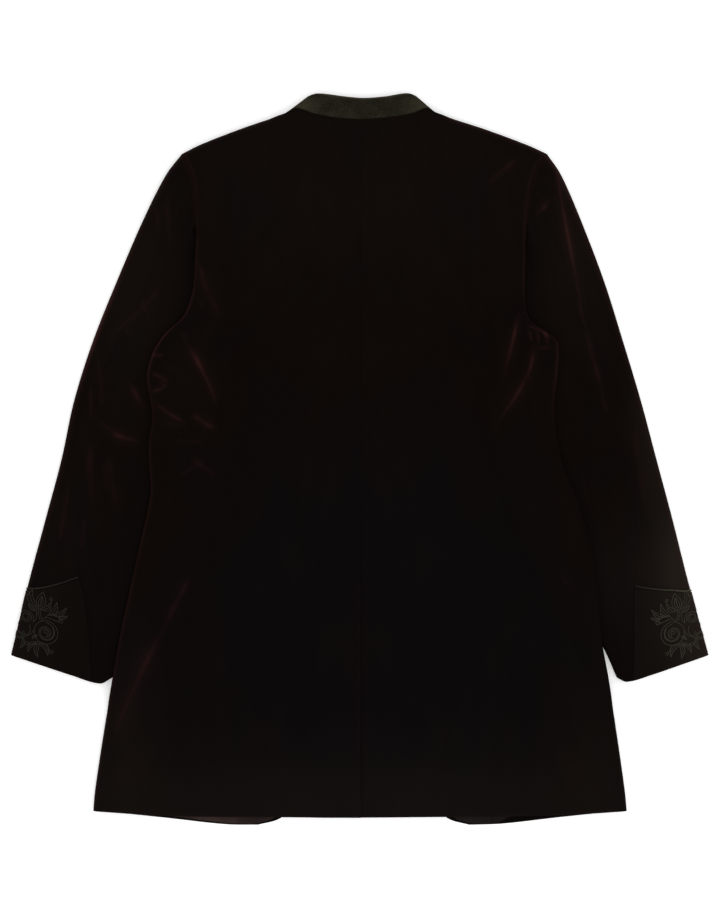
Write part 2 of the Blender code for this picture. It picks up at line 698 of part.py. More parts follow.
def make_collar():
    outer, inner = [], []
    for i in range(COLLAR_ROWS + 1):
        v = i / COLLAR_ROWS
        outer_row, inner_row = [], []
        for side in ("left", "right"):
            columns = [(place, -90.0) for place in (COLLAR_OPENING,) + NECK_PLACES[-2:0:-1]]
            columns += [(0.0, a) for a in COLLAR_FOLD_ANGLES]
            columns += [(place, 90.0) for place in NECK_PLACES[1:]]
            if side == "right":
                columns = columns[-2::-1]
            for row, offset in ((outer_row, 0.0), (inner_row, -COLLAR_WALL)):
                for u, angle in columns:
                    is_back = angle > 0.0
                    cos, sin = math.cos(math.radians(angle)), math.sin(math.radians(angle))
                    fold = collar_point(side, 0.0, v, True)
                    half = 0.5 * body_top(fold)
                    reach = min(half, EDGE_REACH)
                    if abs(angle) < 90.0:
                        u = (reach - (reach + offset) * cos) / COLLAR_HALF
                    point = collar_point(side, u, v, is_back)
                    half = 0.5 * plain_top(point)
                    row.append((point[0], point[1], half + (half + offset) * sin))
        outer.append(outer_row)
        inner.append(inner_row)
    sheet("collar", outer, inner, "felt")


def make_linings():
    # the lining shows on the fronts below the back's hem
    for side in ("left", "right"):
        bottom, edge_line = curve(FRONT_HEM[side]), curve(FRONT_EDGE[side])
        top = top_line(side, FRONT_NECK, FRONT_NECK_SHARE)

        def left(v):
            y = mix(HEM_Y, TIP_Y, v)
            return (body_edge(side, y), y)

        outer, inner = [], []
        for i in range(LINING_ROWS + 1):
            share = (i / LINING_ROWS) ** 1.5
            v = mix(LINING_INSET / (TIP_Y - HEM_Y), LINING_HEIGHT, share)
            outer_row, inner_row = [], []
            for j in range(LINING_COLUMNS + 1):
                width = math.dist(left(v), edge_line(v))
                far = 1.0 - 2.0 * LINING_INSET / width
                u = mix(LINING_SIDE / width, far, j / LINING_COLUMNS)
                point = patch(bottom, top, left, edge_line, u, v)
                z = body_bottom(point) + WALL + 2.0 * SEAM
                outer_row.append((point[0], point[1], z + LINING_WALL))
                inner_row.append((point[0], point[1], z))
            outer.append(outer_row)
            inner.append(inner_row)
        sheet("lining_" + side, outer, inner, "satin", (), side == "right")


def main():
    for old in list(bpy.data.objects):
        bpy.data.objects.remove(old, do_unlink=True)
    make_body()
    make_sleeves()
    make_cuffs()
    make_piping()
    make_collar()
    make_linings()


main()
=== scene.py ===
import math

import bpy
import numpy as np
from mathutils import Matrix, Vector


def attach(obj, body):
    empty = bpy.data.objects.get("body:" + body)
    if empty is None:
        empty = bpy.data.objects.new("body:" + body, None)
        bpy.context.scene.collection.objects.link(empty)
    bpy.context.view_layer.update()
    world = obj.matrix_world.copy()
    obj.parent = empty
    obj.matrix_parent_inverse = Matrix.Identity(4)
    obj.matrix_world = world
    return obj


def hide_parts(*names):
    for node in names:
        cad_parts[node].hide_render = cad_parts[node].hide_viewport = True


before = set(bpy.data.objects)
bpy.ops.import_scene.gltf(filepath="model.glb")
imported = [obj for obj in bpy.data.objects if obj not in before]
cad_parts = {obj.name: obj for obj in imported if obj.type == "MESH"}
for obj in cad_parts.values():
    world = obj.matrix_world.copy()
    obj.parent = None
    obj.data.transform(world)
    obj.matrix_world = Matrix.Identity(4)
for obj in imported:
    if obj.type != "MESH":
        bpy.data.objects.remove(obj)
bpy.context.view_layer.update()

# Long velvet blazer, laid flat with its back up. Tables are in millimetres, in the frame's
# axes: the floor is z = 0, +Y runs to the collar, +X to the right. Meshes are made in metres.
mm = 0.001
sides = ("left", "right")

# Sizes of the frame's solids, which the shells follow
wall = 2
cuffWall = 1.5
collarWall = 2.4
liningWall = 0.8
seamGap = 0.3
bodyThick = 15
shoulderRise = 8
shoulderStartY = 190
shoulderClimb = 130
neckRise = 0.35
neckReach = 120
sleeveThick = 13
sleeveCover = 1.8
layerGap = 2.6
edgeReach = 8
centreX = 1
hemY = -404.2
tipY = 351.3
centreHemY = -411.5
centreNeckY = 391.2
ventTopY = -144
ventUnderlap = 36
ventLift = 2.6
ventEase = 16
ventMargin = 10
ventClimb = 22
rollEndY = 172
rollFade = 40
departY = 215
tuckY = 190
liftFlat = 14
liftFall = 24
tipClear = 50
cuffStart = 0.872
cuffRaise = (0.785, 0.04)
cuffHeight = 1.8
sleeveHead = 0.3
headEdge = 0.42
headFade = 0.26
foldClear = 16
neckShare = {"back": 0.55, "front": 0.5}
collarOpening = 0.9
collarHalf = 95

bodySections = np.array((
    (-404.2, -307, 307), (-380, -304.8, 304.6), (-311, -294.4, 294.8),
    (-250, -284, 285.2), (-204, -276, 277), (-151, -264.5, 272.5),
    (-98.3, -253, 264.5), (-39.7, -240.6, 246.5), (-9.8, -242, 234),
    (19, -242.6, 227.2), (48.9, -238.6, 223.4), (72, -241.5, 223.6),
    (96, -244.9, 226.5), (122.5, -238, 228.4), (137, -229.5, 226),
    (147, -221.5, 213.5), (158, -208.5, 197), (169.6, -199.8, 191.2),
    (201.8, -191, 189.4), (266, -188.6, 190.9), (304, -189.6, 194.3),
    (319, -190.9, 197.2), (336.4, -196.6, 203.4), (351.3, -204.7, 215),
))

# Lines of the cut, from the shoulder tip or the side to the centre
shoulderLine = {
    "left": ((-204.7, 351.3), (-184, 361.7), (-140.3, 378.9), (-103.5, 391.6), (-86.5, 397)),
    "right": ((215, 351.3), (192, 361.7), (146, 378.9), (106.9, 391.6), (87.5, 398)),
}
neckLine = {
    "back": {
        "left": ((-86.5, 397), (-73.6, 403.4), (-52, 397.4), (-24.1, 392.6), (1, 391.2)),
        "right": ((87.5, 398), (76, 403.4), (60.9, 398), (31.7, 393.4), (1, 391.2)),
    },
    "front": {
        "left": ((-86.5, 397), (-78, 375), (-61, 351), (-35, 332), (-1, 324)),
        "right": ((87.5, 398), (79, 375), (62, 351), (37, 332), (3, 324)),
    },
}
collarTop = ((-60.5, 417), (-48, 420.2), (-17.2, 416.9), (3.4, 415.2), (28.7, 416.9),
             (54, 420.4), (65.5, 417))
collarInside = {
    "left": ((-60.5, 417), (-56, 388), (-44, 368), (-26, 355), (-1, 349)),
    "right": ((65.5, 417), (58, 388), (46, 368), (28, 355), (3, 349)),
}
hemLine = {
    "back": {
        "left": ((-307, -404.2), (-224.2, -409.4), (-87.4, -411.1), (1, -411.5)),
        "right": ((307, -404.2), (230, -408.8), (117.3, -410.5), (1, -411.5)),
    },
    "front": {
        "left": ((-307, -404.2), (-224.2, -412.8), (-155.2, -420.3), (-117.3, -420.9)),
        "right": ((307, -404.2), (230, -412.2), (164.4, -419.6), (126, -421)),
    },
}
frontEdge = {
    "left": ((-117.3, -420.9), (-92, -413.5), (-73, -393), (-62, -345),
             (-40, -190), (-12, -40), (-1, 60), (-1, 190), (-1, 324)),
    "right": ((126, -421), (101, -413.5), (82, -393), (70, -345),
              (46, -190), (16, -40), (3, 60), (3, 190), (3, 324)),
}
sleeveOuter = {
    "left": ((-204.7, 351.3), (-223.1, 327.2), (-249.5, 275.4), (-279.4, 206.4), (-307, 137.4),
             (-328.9, 68.4), (-343.8, -0.6), (-362.2, -69.6), (-380.6, -138.6), (-401.3, -224.8)),
    "right": ((215, 351.3), (231.1, 327.2), (254.1, 275.4), (280.6, 206.4), (302.4, 137.4),
              (323.1, 68.4), (341.5, -0.6), (359.9, -69.6), (377.2, -138.6), (400.8, -224.8)),
}
sleeveInner = {
    "left": ((-178, 190), (-172, 130), (-166, 70), (-171, 0), (-189, -60),
             (-212, -118), (-238, -172), (-264, -216), (-285, -251)),
    "right": ((177, 190), (173, 130), (167, 70), (175, 10), (194, -50),
              (217, -110), (247, -165), (279, -215), (295.5, -251)),
}
cuffHem = {
    "left": ((-401.3, -224.8), (-365.7, -236.8), (-332.3, -247.8), (-299, -257.6),
             (-285, -251)),
    "right": ((400.8, -224.8), (368, -236.3), (335.8, -247.4), (307, -255.6), (295.5, -251)),
}
elbowSeam = {
    "left": np.array(((0, 0.25), (0.3, 0.16), (0.62, 0.05), (0.74, 0.17), (0.84, 0.46),
                      (1, 0.8))),
    "right": np.array(((0, 0.25), (0.3, 0.17), (0.5, 0.1), (0.66, 0.15), (0.84, 0.52),
                       (1, 0.83))),
}
# upper edge of a cuff: share of the way to the elbow seam, share of the sleeve's length
cuffEdge = {
    "left": np.array(((0, 0.872), (0.13, 0.864), (0.27, 0.854), (0.43, 0.841),
                      (0.63, 0.8265), (0.8, 0.815), (1, 0.8045))),
    "right": np.array(((0, 0.8735), (0.11, 0.868), (0.23, 0.86), (0.4, 0.8495),
                       (0.57, 0.8385), (0.77, 0.8255), (1, 0.8105))),
}


# Shape functions, all on arrays
def smooth(value):
    value = np.clip(value, 0, 1)
    return value * value * (3 - 2 * value)


def mix(a, b, share):
    return a + (b - a) * share


def bell(distance, reach):
    return np.exp(-(distance / reach) ** 2)


def tableValue(keys, values, key):
    # smooth cubic through the rows of a table
    keys, values = np.asarray(keys, float), np.asarray(values, float)
    key = np.clip(key, keys[0], keys[-1])
    i = np.clip(np.searchsorted(keys, key, side="right") - 1, 0, len(keys) - 2)
    last = len(keys) - 1
    low = np.maximum(np.arange(last + 1) - 1, 0)
    high = np.minimum(np.arange(last + 1) + 1, last)
    run = keys[high] - keys[low]
    wide = values.ndim > 1
    slopes = (values[high] - values[low]) / (run[:, None] if wide else run)
    step = keys[i + 1] - keys[i]
    t = (key - keys[i]) / step
    if wide:
        step, t = step[..., None], t[..., None]
    return (values[i] * (2 * t ** 3 - 3 * t ** 2 + 1) + slopes[i] * step * (t ** 3 - 2 * t ** 2 + t)
            + values[i + 1] * (3 * t ** 2 - 2 * t ** 3) + slopes[i + 1] * step * (t ** 3 - t ** 2))


def runOf(points):
    # the way along a line of points
    return np.concatenate([[0], np.cumsum(np.linalg.norm(np.diff(points, axis=0), axis=1))])


def curveThrough(points):
    # a smooth line through points, taken by its share of length
    points = np.array(points, float)
    run = runOf(points)

    def at(share):
        return tableValue(run / run[-1], points, np.asarray(share, float))

    at.length = run[-1]
    return at


def nearest(points, line):
    # distance to a line, and the share of its steps where it is nearest
    best, place = np.full(points.shape[:-1], 1e9), np.zeros(points.shape[:-1])
    for k, (a, b) in enumerate(zip(line[:-1], line[1:])):
        run = b - a
        t = np.clip(((points - a) @ run) / max(run @ run, 1e-9), 0, 1)
        away = np.linalg.norm(points - a - t[..., None] * run, axis=-1)
        place = np.where(away < best, (k + t) / (len(line) - 1), place)
        best = np.minimum(best, away)
    return best, place


def isInside(points, outline):
    inside = np.zeros(points.shape[:-1], bool)
    x, y = points[..., 0], points[..., 1]
    for (ax, ay), (bx, by) in zip(outline, np.roll(outline, -1, axis=0)):
        if ay != by:
            crosses = ((ay > y) != (by > y)) & (x < ax + (y - ay) * (bx - ax) / (by - ay))
            inside ^= crosses
    return inside


def patch(bottom, top, left, right, u, v):
    # a surface stretched between four edges
    u, v = np.broadcast_arrays(u, v)
    along = mix(bottom(u), top(u), v[..., None])
    across = mix(left(v), right(v), u[..., None])
    corners = mix(mix(bottom(0), bottom(1), u[..., None]),
                  mix(top(0), top(1), u[..., None]), v[..., None])
    return along + across - corners


def withHeight(points, z):
    return np.concatenate([points, z[..., None]], axis=-1)


def turned(angle):
    # cosine and sine of degrees
    return np.cos(np.radians(angle)), np.sin(np.radians(angle))


def outward(side):
    return -1 if side == "left" else 1


def bodyEdge(side, y):
    return tableValue(bodySections[:, 0], bodySections[:, 1 if side == "left" else 2], y)


def sleeveMouth(side):
    # along the armhole from the shoulder tip, then under the body to the inner edge
    def at(u):
        y = mix(tipY, tuckY, np.asarray(u, float))
        share = smooth((departY - y) / (departY - tuckY))
        x = mix(bodyEdge(side, y), sleeveInner[side][0][0], share)
        return np.stack([x, y], axis=-1)

    return at


mouthLines = {side: sleeveMouth(side) for side in sides}
outerLines = {side: curveThrough(sleeveOuter[side]) for side in sides}
innerLines = {side: curveThrough(sleeveInner[side]) for side in sides}
cuffLines = {side: curveThrough(cuffHem[side]) for side in sides}
steps = np.linspace(0, 1, 25)
hiddenLines = {
    side: np.concatenate([mouthLines[side](np.array((0.85, 0.92, 1))),
                          innerLines[side](steps[1:]), cuffLines[side](1 - steps[1:])])
    for side in sides
}
sleeveOutlines = {
    side: np.concatenate([mouthLines[side](steps), innerLines[side](steps[1:]),
                          cuffLines[side](1 - steps[1:]), outerLines[side](1 - steps[1:-1])])
    for side in sides
}


def cover(points):
    # 1 where the body lies on a sleeve, 0 where it lies on the floor
    value = np.zeros(points.shape[:-1])
    for side in sides:
        here = points[..., 0] < 0 if side == "left" else points[..., 0] >= 0
        away, _ = nearest(points, hiddenLines[side])
        inside = isInside(points, sleeveOutlines[side]) & (points[..., 1] < tipY - tipClear)
        raised = np.where(inside, 1, 1 - smooth((away - liftFlat) / liftFall))
        value = np.where(here, raised, value)
    return value


def plainTop(points):
    rise = shoulderRise * smooth((points[..., 1] - shoulderStartY) / shoulderClimb)
    return bodyThick + rise * mix(neckRise, 1, smooth(np.abs(points[..., 0]) / neckReach))


def bodyHeights(points):
    raised = cover(points)
    onSleeve = sleeveThick + sleeveCover + 2 * wall + layerGap
    bottom = (sleeveThick + sleeveCover) * raised
    return bottom, plainTop(points) + max(onSleeve - bodyThick, 0) * raised


def ventRise(points):
    start = centreX - ventUnderlap - ventMargin - ventEase
    across = smooth((points[..., 0] - start) / ventEase)
    along = smooth((ventTopY + ventClimb - points[..., 1]) / ventClimb)
    return ventLift * across * along


def sideRoll(y):
    return 1 - smooth((y - rollEndY) / rollFade)


def foldRelief(points, folds):
    # soft ridges with a sharper crest; returns their height and where the pile catches light
    height, crest = np.zeros(points.shape[:-1]), np.zeros(points.shape[:-1])
    t = np.linspace(0, 1, 18)[:, None]
    for *bends, rise, reach, shine in folds:
        start, bend, end = np.array(bends).reshape(3, 2)
        best, place = nearest(points, mix(mix(start, bend, t), mix(bend, end, t), t))
        ends = smooth(place / 0.2 + 0.25) * smooth((1 - place) / 0.2 + 0.25)
        height += rise * ends * (0.72 * bell(best, reach) + 0.28 * bell(best, 0.35 * reach))
        taper = smooth(place / 0.38) * smooth((1 - place) / 0.38)
        taper *= 0.78 + 0.22 * np.sin(12 * place + start[0])
        crest += shine * taper * (0.26 * bell(best, 0.6 * reach)
                                  + 0.74 * bell(best, 0.8 + 0.1 * reach * taper))
    return height, crest


def unevenness(x, y, size, turn):
    # slow waves between -1 and 1, the same at every run
    k = 2 * math.pi / size
    return (np.sin(k * (0.9 * x + 0.5 * y) + turn) + np.sin(k * (1.4 * y - 0.8 * x) + 2.1 * turn)
            + np.sin(k * (0.25 * x - 0.6 * y) + 3.7 * turn)) / 3


def seamDitch(distance, depth, reach):
    # a stitched seam: a narrow ditch with soft shoulders
    return -depth * bell(distance, reach) + 0.25 * depth * bell(distance - 3.2 * reach, 2.2 * reach)


# Meshes
def makeMesh(name, vertices, faces, uv, materials, slots=None, marks=None):
    mesh = bpy.data.meshes.new(name)
    mesh.from_pydata((np.asarray(vertices) * mm).tolist(), [], faces)
    mesh.validate()
    layer = mesh.uv_layers.new(name="cloth")
    corner = np.empty(len(mesh.loops), np.int32)
    mesh.loops.foreach_get("vertex_index", corner)
    layer.data.foreach_set("uv", (np.asarray(uv)[corner] * mm).astype(np.float32).ravel())
    for key, values in (marks or {}).items():
        mesh.attributes.new(key, "FLOAT", "POINT").data.foreach_set(
            "value", np.asarray(values, np.float32).ravel())
    for material in materials:
        mesh.materials.append(material)
    if slots is not None:
        mesh.polygons.foreach_set("material_index", np.asarray(slots, np.int32))
    mesh.shade_smooth()
    piece = bpy.data.objects.new(name, mesh)
    bpy.context.scene.collection.objects.link(piece)
    return piece


def makeShell(name, outer, inner, materials, marks, keep=None, flip=False):
    # a closed wall between two grids of points; keep leaves cells out
    rows, columns = outer.shape[:2]
    layer = rows * columns
    number = np.arange(layer).reshape(rows, columns)
    keep = np.ones((rows - 1, columns - 1), bool) if keep is None else keep
    a, b = number[:-1, :-1], number[:-1, 1:]
    c, d = number[1:, 1:], number[1:, :-1]
    top = np.stack([a, b, c, d], axis=-1)[keep]
    faces = [top, top[:, ::-1] + layer]
    framed = np.pad(keep, 1)
    for p, q, beside in ((a, b, framed[:-2, 1:-1]), (b, c, framed[1:-1, 2:]),
                         (c, d, framed[2:, 1:-1]), (d, a, framed[1:-1, :-2])):
        rim = keep & ~beside
        faces.append(np.stack([q[rim], p[rim], p[rim] + layer, q[rim] + layer], axis=-1))
    slots = np.concatenate([np.full(len(f), 1 if k == 1 else 0) for k, f in enumerate(faces)])
    faces = np.concatenate(faces)
    if flip:
        faces = faces[:, ::-1]
    used = np.unique(faces)
    renumber = np.zeros(2 * layer, int)
    renumber[used] = np.arange(len(used))
    vertices = np.concatenate([outer.reshape(-1, 3), inner.reshape(-1, 3)])[used]
    double = {k: np.tile(np.asarray(v).ravel(), 2)[used] for k, v in marks.items()}
    flat = np.tile(clothLength(outer).reshape(-1, 2), (2, 1))[used]
    return makeMesh(name, vertices, renumber[faces].tolist(), flat, materials, slots, double)


def clothLength(points):
    # the way across each row and along each column of a grid, for the cloth's own coordinates
    across = np.zeros(points.shape[:2])
    across[:, 1:] = np.cumsum(np.linalg.norm(np.diff(points, axis=1), axis=-1), axis=1)
    middle = across[:, points.shape[1] // 2][:, None]
    along = np.zeros(points.shape[:2])
    along[1:] = np.cumsum(np.linalg.norm(np.diff(points, axis=0), axis=-1), axis=0)
    return np.stack([across - middle, along], axis=-1)


# Shader node helpers
def newGroup(name, colours, floats):
    # every group takes the cloth's coordinates and gives colour, roughness and height
    group = bpy.data.node_groups.new(name, "ShaderNodeTree")

    def addSockets(way, kind, labels):
        for label in labels:
            group.interface.new_socket(label, in_out=way, socket_type="NodeSocket" + kind)

    addSockets("INPUT", "Vector", ("Cloth",))
    addSockets("INPUT", "Color", colours)
    addSockets("INPUT", "Float", floats)
    addSockets("OUTPUT", "Color", ("Color",))
    addSockets("OUTPUT", "Float", ("Roughness", "Height"))
    return (group, group.nodes.new("NodeGroupInput").outputs,
            group.nodes.new("NodeGroupOutput").inputs)


def feed(tree, socket, value):
    if isinstance(value, bpy.types.NodeSocket):
        tree.links.new(value, socket)
    else:
        socket.default_value = value


def mathOf(tree):
    # sum and product of two sockets or values
    def calculate(operation, a, b, clamp):
        node = tree.nodes.new("ShaderNodeMath")
        node.operation, node.use_clamp = operation, clamp
        feed(tree, node.inputs[0], a)
        feed(tree, node.inputs[1], b)
        return node.outputs[0]

    def plus(a, b, clamp=False):
        return calculate("ADD", a, b, clamp)

    def times(a, b, clamp=False):
        return calculate("MULTIPLY", a, b, clamp)

    return plus, times


def blendColours(tree, share, a, b, blend="MIX"):
    node = tree.nodes.new("ShaderNodeMix")
    node.data_type, node.blend_type = "RGBA", blend
    for number, value in ((0, share), (6, a), (7, b)):
        feed(tree, node.inputs[number], value)
    return node.outputs[2]


def noiseOf(tree, vector, scale, detail, roughness, stretch=(1, 1, 1)):
    mapping = tree.nodes.new("ShaderNodeMapping")
    mapping.inputs["Scale"].default_value = stretch
    tree.links.new(vector, mapping.inputs["Vector"])
    noise = tree.nodes.new("ShaderNodeTexNoise")
    for label, value in (("Scale", scale), ("Detail", detail), ("Roughness", roughness)):
        noise.inputs[label].default_value = value
    tree.links.new(mapping.outputs[0], noise.inputs["Vector"])
    return noise.outputs["Fac"]


# Pile of the velvet: brushed patches and fine tufts, with a painted pale sheen and a painted highlight
# on crests and edges
def pileGroup():
    group, given, result = newGroup("velvetPile", ("Cool", "Warm", "Pale", "Lit"),
                                    ("Nap", "Tone", "Bloom", "Brushing", "Tufts"))
    plus, times = mathOf(group)
    tufts = noiseOf(group, given["Cloth"], 1400, 2, 0.6)
    strokes = noiseOf(group, given["Cloth"], 60, 3, 0.5, (1, 0.3, 1))
    patches = noiseOf(group, given["Cloth"], 13, 2, 0.45, (1, 0.6, 1))
    brushed = plus(plus(times(strokes, 0.5), times(patches, 0.5)), -0.5)
    # painted pale sheen, with the brushed patches of the pile added to it
    bloom = plus(given["Bloom"], times(brushed, given["Brushing"]), True)
    # painted highlight on the crests and folded edges, broken up by the strokes
    nap = times(given["Nap"], plus(0.35, times(strokes, 1.3)), True)
    tone = plus(given["Tone"], times(plus(patches, -0.5), 1.7), True)
    ground = blendColours(group, tone, given["Cool"], given["Warm"])
    paledBySheen = blendColours(group, bloom, ground, given["Pale"])
    colour = blendColours(group, nap, paledBySheen, given["Lit"])
    speckle = plus(1, times(plus(tufts, -0.5), given["Tufts"]))
    feed(group, result["Color"], blendColours(group, 1, colour, speckle, "MULTIPLY"))
    feed(group, result["Roughness"], plus(0.78, times(tufts, 0.2)))
    feed(group, result["Height"], plus(times(tufts, 0.7), times(strokes, 0.5)))
    return group


# Matted fibres of the felt and loose fibres on the cords; the mark brings painted highlight and painted
# shade
def fibreGroup():
    group, given, result = newGroup("mattedFibres", ("Base", "Light"), ("Mark", "Mottle"))
    plus, times = mathOf(group)
    fibres = noiseOf(group, given["Cloth"], 650, 4, 0.7)
    threads = noiseOf(group, given["Cloth"], 420, 3, 0.6, (0.25, 1, 1))
    clouds = noiseOf(group, given["Cloth"], 70, 2, 0.5)
    matted = plus(plus(times(fibres, 0.75), times(clouds, 0.25)), -0.45)
    share = plus(given["Mark"], times(matted, given["Mottle"]), True)
    feed(group, result["Color"], blendColours(group, share, given["Base"], given["Light"]))
    feed(group, result["Roughness"], plus(0.8, times(fibres, 0.2)))
    feed(group, result["Height"], plus(fibres, times(threads, 0.6)))
    return group


pile = pileGroup()
fibre = fibreGroup()
# sockets of a group that take a mark of the mesh
groupMarks = {pile: {"Nap": "nap", "Tone": "tone", "Bloom": "bloom"}, fibre: {"Mark": "nap"}}
ownSockets = {"gloss": "Specular IOR Level", "sheen": "Sheen Weight",
              "sheenSpread": "Sheen Roughness", "sheenTint": "Sheen Tint"}


def startMaterial(name):
    material = bpy.data.materials.new(name)
    material.use_nodes = True
    cloth = material.node_tree.nodes.new("ShaderNodeUVMap")
    cloth.uv_map = "cloth"
    return material, material.node_tree, cloth.outputs["UV"]


def readMark(tree, name):
    node = tree.nodes.new("ShaderNodeAttribute")
    node.attribute_name = name
    return node.outputs["Fac"]


def finishMaterial(tree, colour, rough, height, look, strength=1):
    shader = tree.nodes["Principled BSDF"]
    bump = tree.nodes.new("ShaderNodeBump")
    bump.inputs["Distance"].default_value = look["depth"] * mm
    bump.inputs["Strength"].default_value = strength
    for value, socket in ((height, bump.inputs["Height"]), (colour, shader.inputs["Base Color"]),
                          (bump.outputs["Normal"], shader.inputs["Normal"]),
                          (rough, shader.inputs["Roughness"])):
        tree.links.new(value, socket)
    for key, label in ownSockets.items():
        if key in look:
            shader.inputs[label].default_value = look[key]


def makeCloth(name, group, look):
    # values of the look go to the group's sockets of the same name
    material, tree, cloth = startMaterial(name)
    effect = tree.nodes.new("ShaderNodeGroup")
    effect.node_tree = group
    feed(tree, effect.inputs["Cloth"], cloth)
    for label, mark in groupMarks[group].items():
        feed(tree, effect.inputs[label], readMark(tree, mark))
    for key, value in look.items():
        if key.capitalize() in effect.inputs:
            effect.inputs[key.capitalize()].default_value = value
    finishMaterial(tree, *effect.outputs, look)
    return material


def makeSatin(name, look):
    # smooth lining: fine warp lines, a soft gloss and a painted sheen taken from the mark
    material, tree, cloth = startMaterial(name)
    plus, times = mathOf(tree)
    wave = tree.nodes.new("ShaderNodeTexWave")
    wave.inputs["Scale"].default_value = look["threads"]
    wave.inputs["Distortion"].default_value = 1.5
    feed(tree, wave.inputs["Vector"], cloth)
    clouds = times(plus(noiseOf(tree, cloth, 45, 2, 0.5), 0.5), readMark(tree, "nap"))
    colour = blendColours(tree, clouds, look["deep"], look["bright"])
    rough = plus(look["roughness"], times(wave.outputs["Fac"], 0.08))
    finishMaterial(tree, colour, rough, wave.outputs["Fac"], look, 0.5)
    return material


# lit is the colour of the painted highlight, pale that of the painted pale sheen
velvetLook = {
    "cool": (0.0028, 0.0021, 0.0025, 1), "warm": (0.0036, 0.002, 0.0013, 1),
    "pale": (0.013, 0.0095, 0.0074, 1), "lit": (0.034, 0.0105, 0.0095, 1),
    "brushing": 0.26, "tufts": 0.9, "depth": 0.35,
    "gloss": 0.02, "sheen": 0.035, "sheenSpread": 0.35, "sheenTint": (0.55, 0.3, 0.26, 1),
}
cuffLook = dict(velvetLook, cool=(0.0028, 0.0022, 0.0019, 1), warm=(0.0034, 0.0022, 0.0015, 1))


def fibreLook(base, light, mottle, depth, gloss, sheen):
    return {"base": base, "light": light, "mottle": mottle, "depth": depth, "gloss": gloss,
            "sheen": sheen, "sheenSpread": 0.5, "sheenTint": light}


feltLook = fibreLook((0.0066, 0.0064, 0.0036, 1), (0.033, 0.0285, 0.017, 1), 3.4, 0.5, 0.05,
                     0.05)
cordLook = fibreLook((0.009, 0.0084, 0.006, 1), (0.062, 0.054, 0.041, 1), 0.9, 0.12, 0.1, 0.03)
pipingLook = fibreLook((0.0062, 0.005, 0.0037, 1), (0.075, 0.068, 0.045, 1), 0.25, 0.12, 0.1,
                       0.03)
satinLook = {"deep": (0.0066, 0.0044, 0.0034, 1), "bright": (0.04, 0.0235, 0.0205, 1),
             "threads": 900, "roughness": 0.45, "depth": 0.05, "gloss": 0.05}
velvet = makeCloth("velvet", pile, velvetLook)
cuffVelvet = makeCloth("cuffVelvet", pile, cuffLook)
felt = makeCloth("collarFelt", fibre, feltLook)
scrollCord = makeCloth("scrollCord", fibre, cordLook)
pipingCord = makeCloth("pipingCord", fibre, pipingLook)
satin = makeSatin("liningSatin", satinLook)
print("materials made")

# Body panels. A fold: x and y of its start, bend and end, height, half width, crest's shine
back = {
    "spacing": (2, 4.2),
    "fineShare": 0.45,
    "fineY": (-45, 240),
    "rowSpacing": (3.8, 2, 3.2),
    "undulation": 0.35,
    "hemDepth": 38,
    "seamDepth": 0.45,
    "folds": (
        (-204, 141, -178, 104, -162, 58, 4.2, 10, 0.62),
        (-190, 226, -174, 192, -156, 154, 1.6, 12, 0.2), (-238, 52, -222, 40, -192, 37, 3, 9, 0.1),
        (-196, 56, -182, 42, -160, 33, 2.2, 10, 0.42), (-198, 4, -182, -6, -162, -20, 2, 11, 0.2),
        (-180, -112, -226, -190, -288, -326, 2.6, 17, 0.05), (184, 176, 176, 136, 160, 80, 4, 10, 0.36),
        (201, 134, 198, 92, 156, 42, 4, 11, 0.42), (186, 350, 166, 334, 142, 312, 1.6, 10, 0.22),
        (-70, 250, -64, 60, -78, -120, 1.2, 24, 0), (74, 250, 66, 60, 82, -120, 1.2, 24, 0),
        (200, -300, 232, -340, 262, -372, 1.6, 14, 0.03),
        (-262, -345, -274, -362, -290, -372, 1.6, 12, 0.03),
        # small puckers between the folds
        (-240, 122, -233, 118, -224, 120, 1, 3.5, 0.45), (-241, 99, -229, 97, -217, 86, 1.4, 4, 0.5),
        (-242, 77, -232, 78, -219, 87, 1.2, 4, 0.45), (-232, 92, -226, 86, -222, 84, 0.8, 3, 0.25),
        (-230, 112, -214, 104, -196, 84, 1, 6, 0.08), (-239, 68, -222, 52, -192, 39, 0.6, 6, 0.42),
        (-206, 148, -203, 143, -196, 132, 0.5, 4, 0.2), (-187, 230, -182, 216, -176, 204, 0.5, 4, 0.25),
        (-186, 186, -181, 176, -179, 168, 0.6, 4, 0.12), (-214, 24, -196, 18, -176, 22, 0.5, 6, 0.1),
        (-212, -22, -196, -14, -186, -2, 0.5, 6, 0.1),
        (-190, -126, -208, -158, -226, -194, 0.4, 16, 0.22),
        (-222, -186, -256, -250, -288, -330, 0.5, 22, 0.27),
        (188, 152, 206, 154, 224, 134, 1.5, 4, 0.45), (193, 150, 196, 144, 197, 134, 1, 3.5, 0.35),
        (202, 152, 204, 142, 206, 130, 1, 3.5, 0.35), (211, 149, 213, 141, 216, 130, 1, 3.5, 0.4),
        (196, 130, 208, 126, 224, 130, 0.8, 4, 0.25), (197, 136, 199, 112, 190, 84, 0.8, 5, 0.26),
        (183, 170, 178, 152, 172, 120, 0.8, 4, 0.3), (174, 66, 166, 56, 158, 40, 0.5, 5, 0.16),
        (215, -110, 232, -138, 256, -160, 0.4, 7, 0.06),
    ),
    # places of painted pale sheen: x, y, reach across, reach along, strength
    "paledBySheen": (
        (0, 330, 260, 130, 0.12), (-205, 110, 40, 90, 0.05),
        (-268, -310, 34, 120, 0.14), (272, -330, 40, 120, 0.1),
        (0, -400, 420, 62, 0.27),
    ),
    # light along the folded side edges: everywhere, more, at this y, over this reach
    "edgeShine": {"left": (0.15, 0.45, 150, 46), "right": (0, 0.24, 112, 50)},
    "shoulderShine": {"left": 0.14, "right": 0.26},
    "armholeShine": 0.13,
    "ventShine": 0.04,
    "hemShine": 0.05,
}


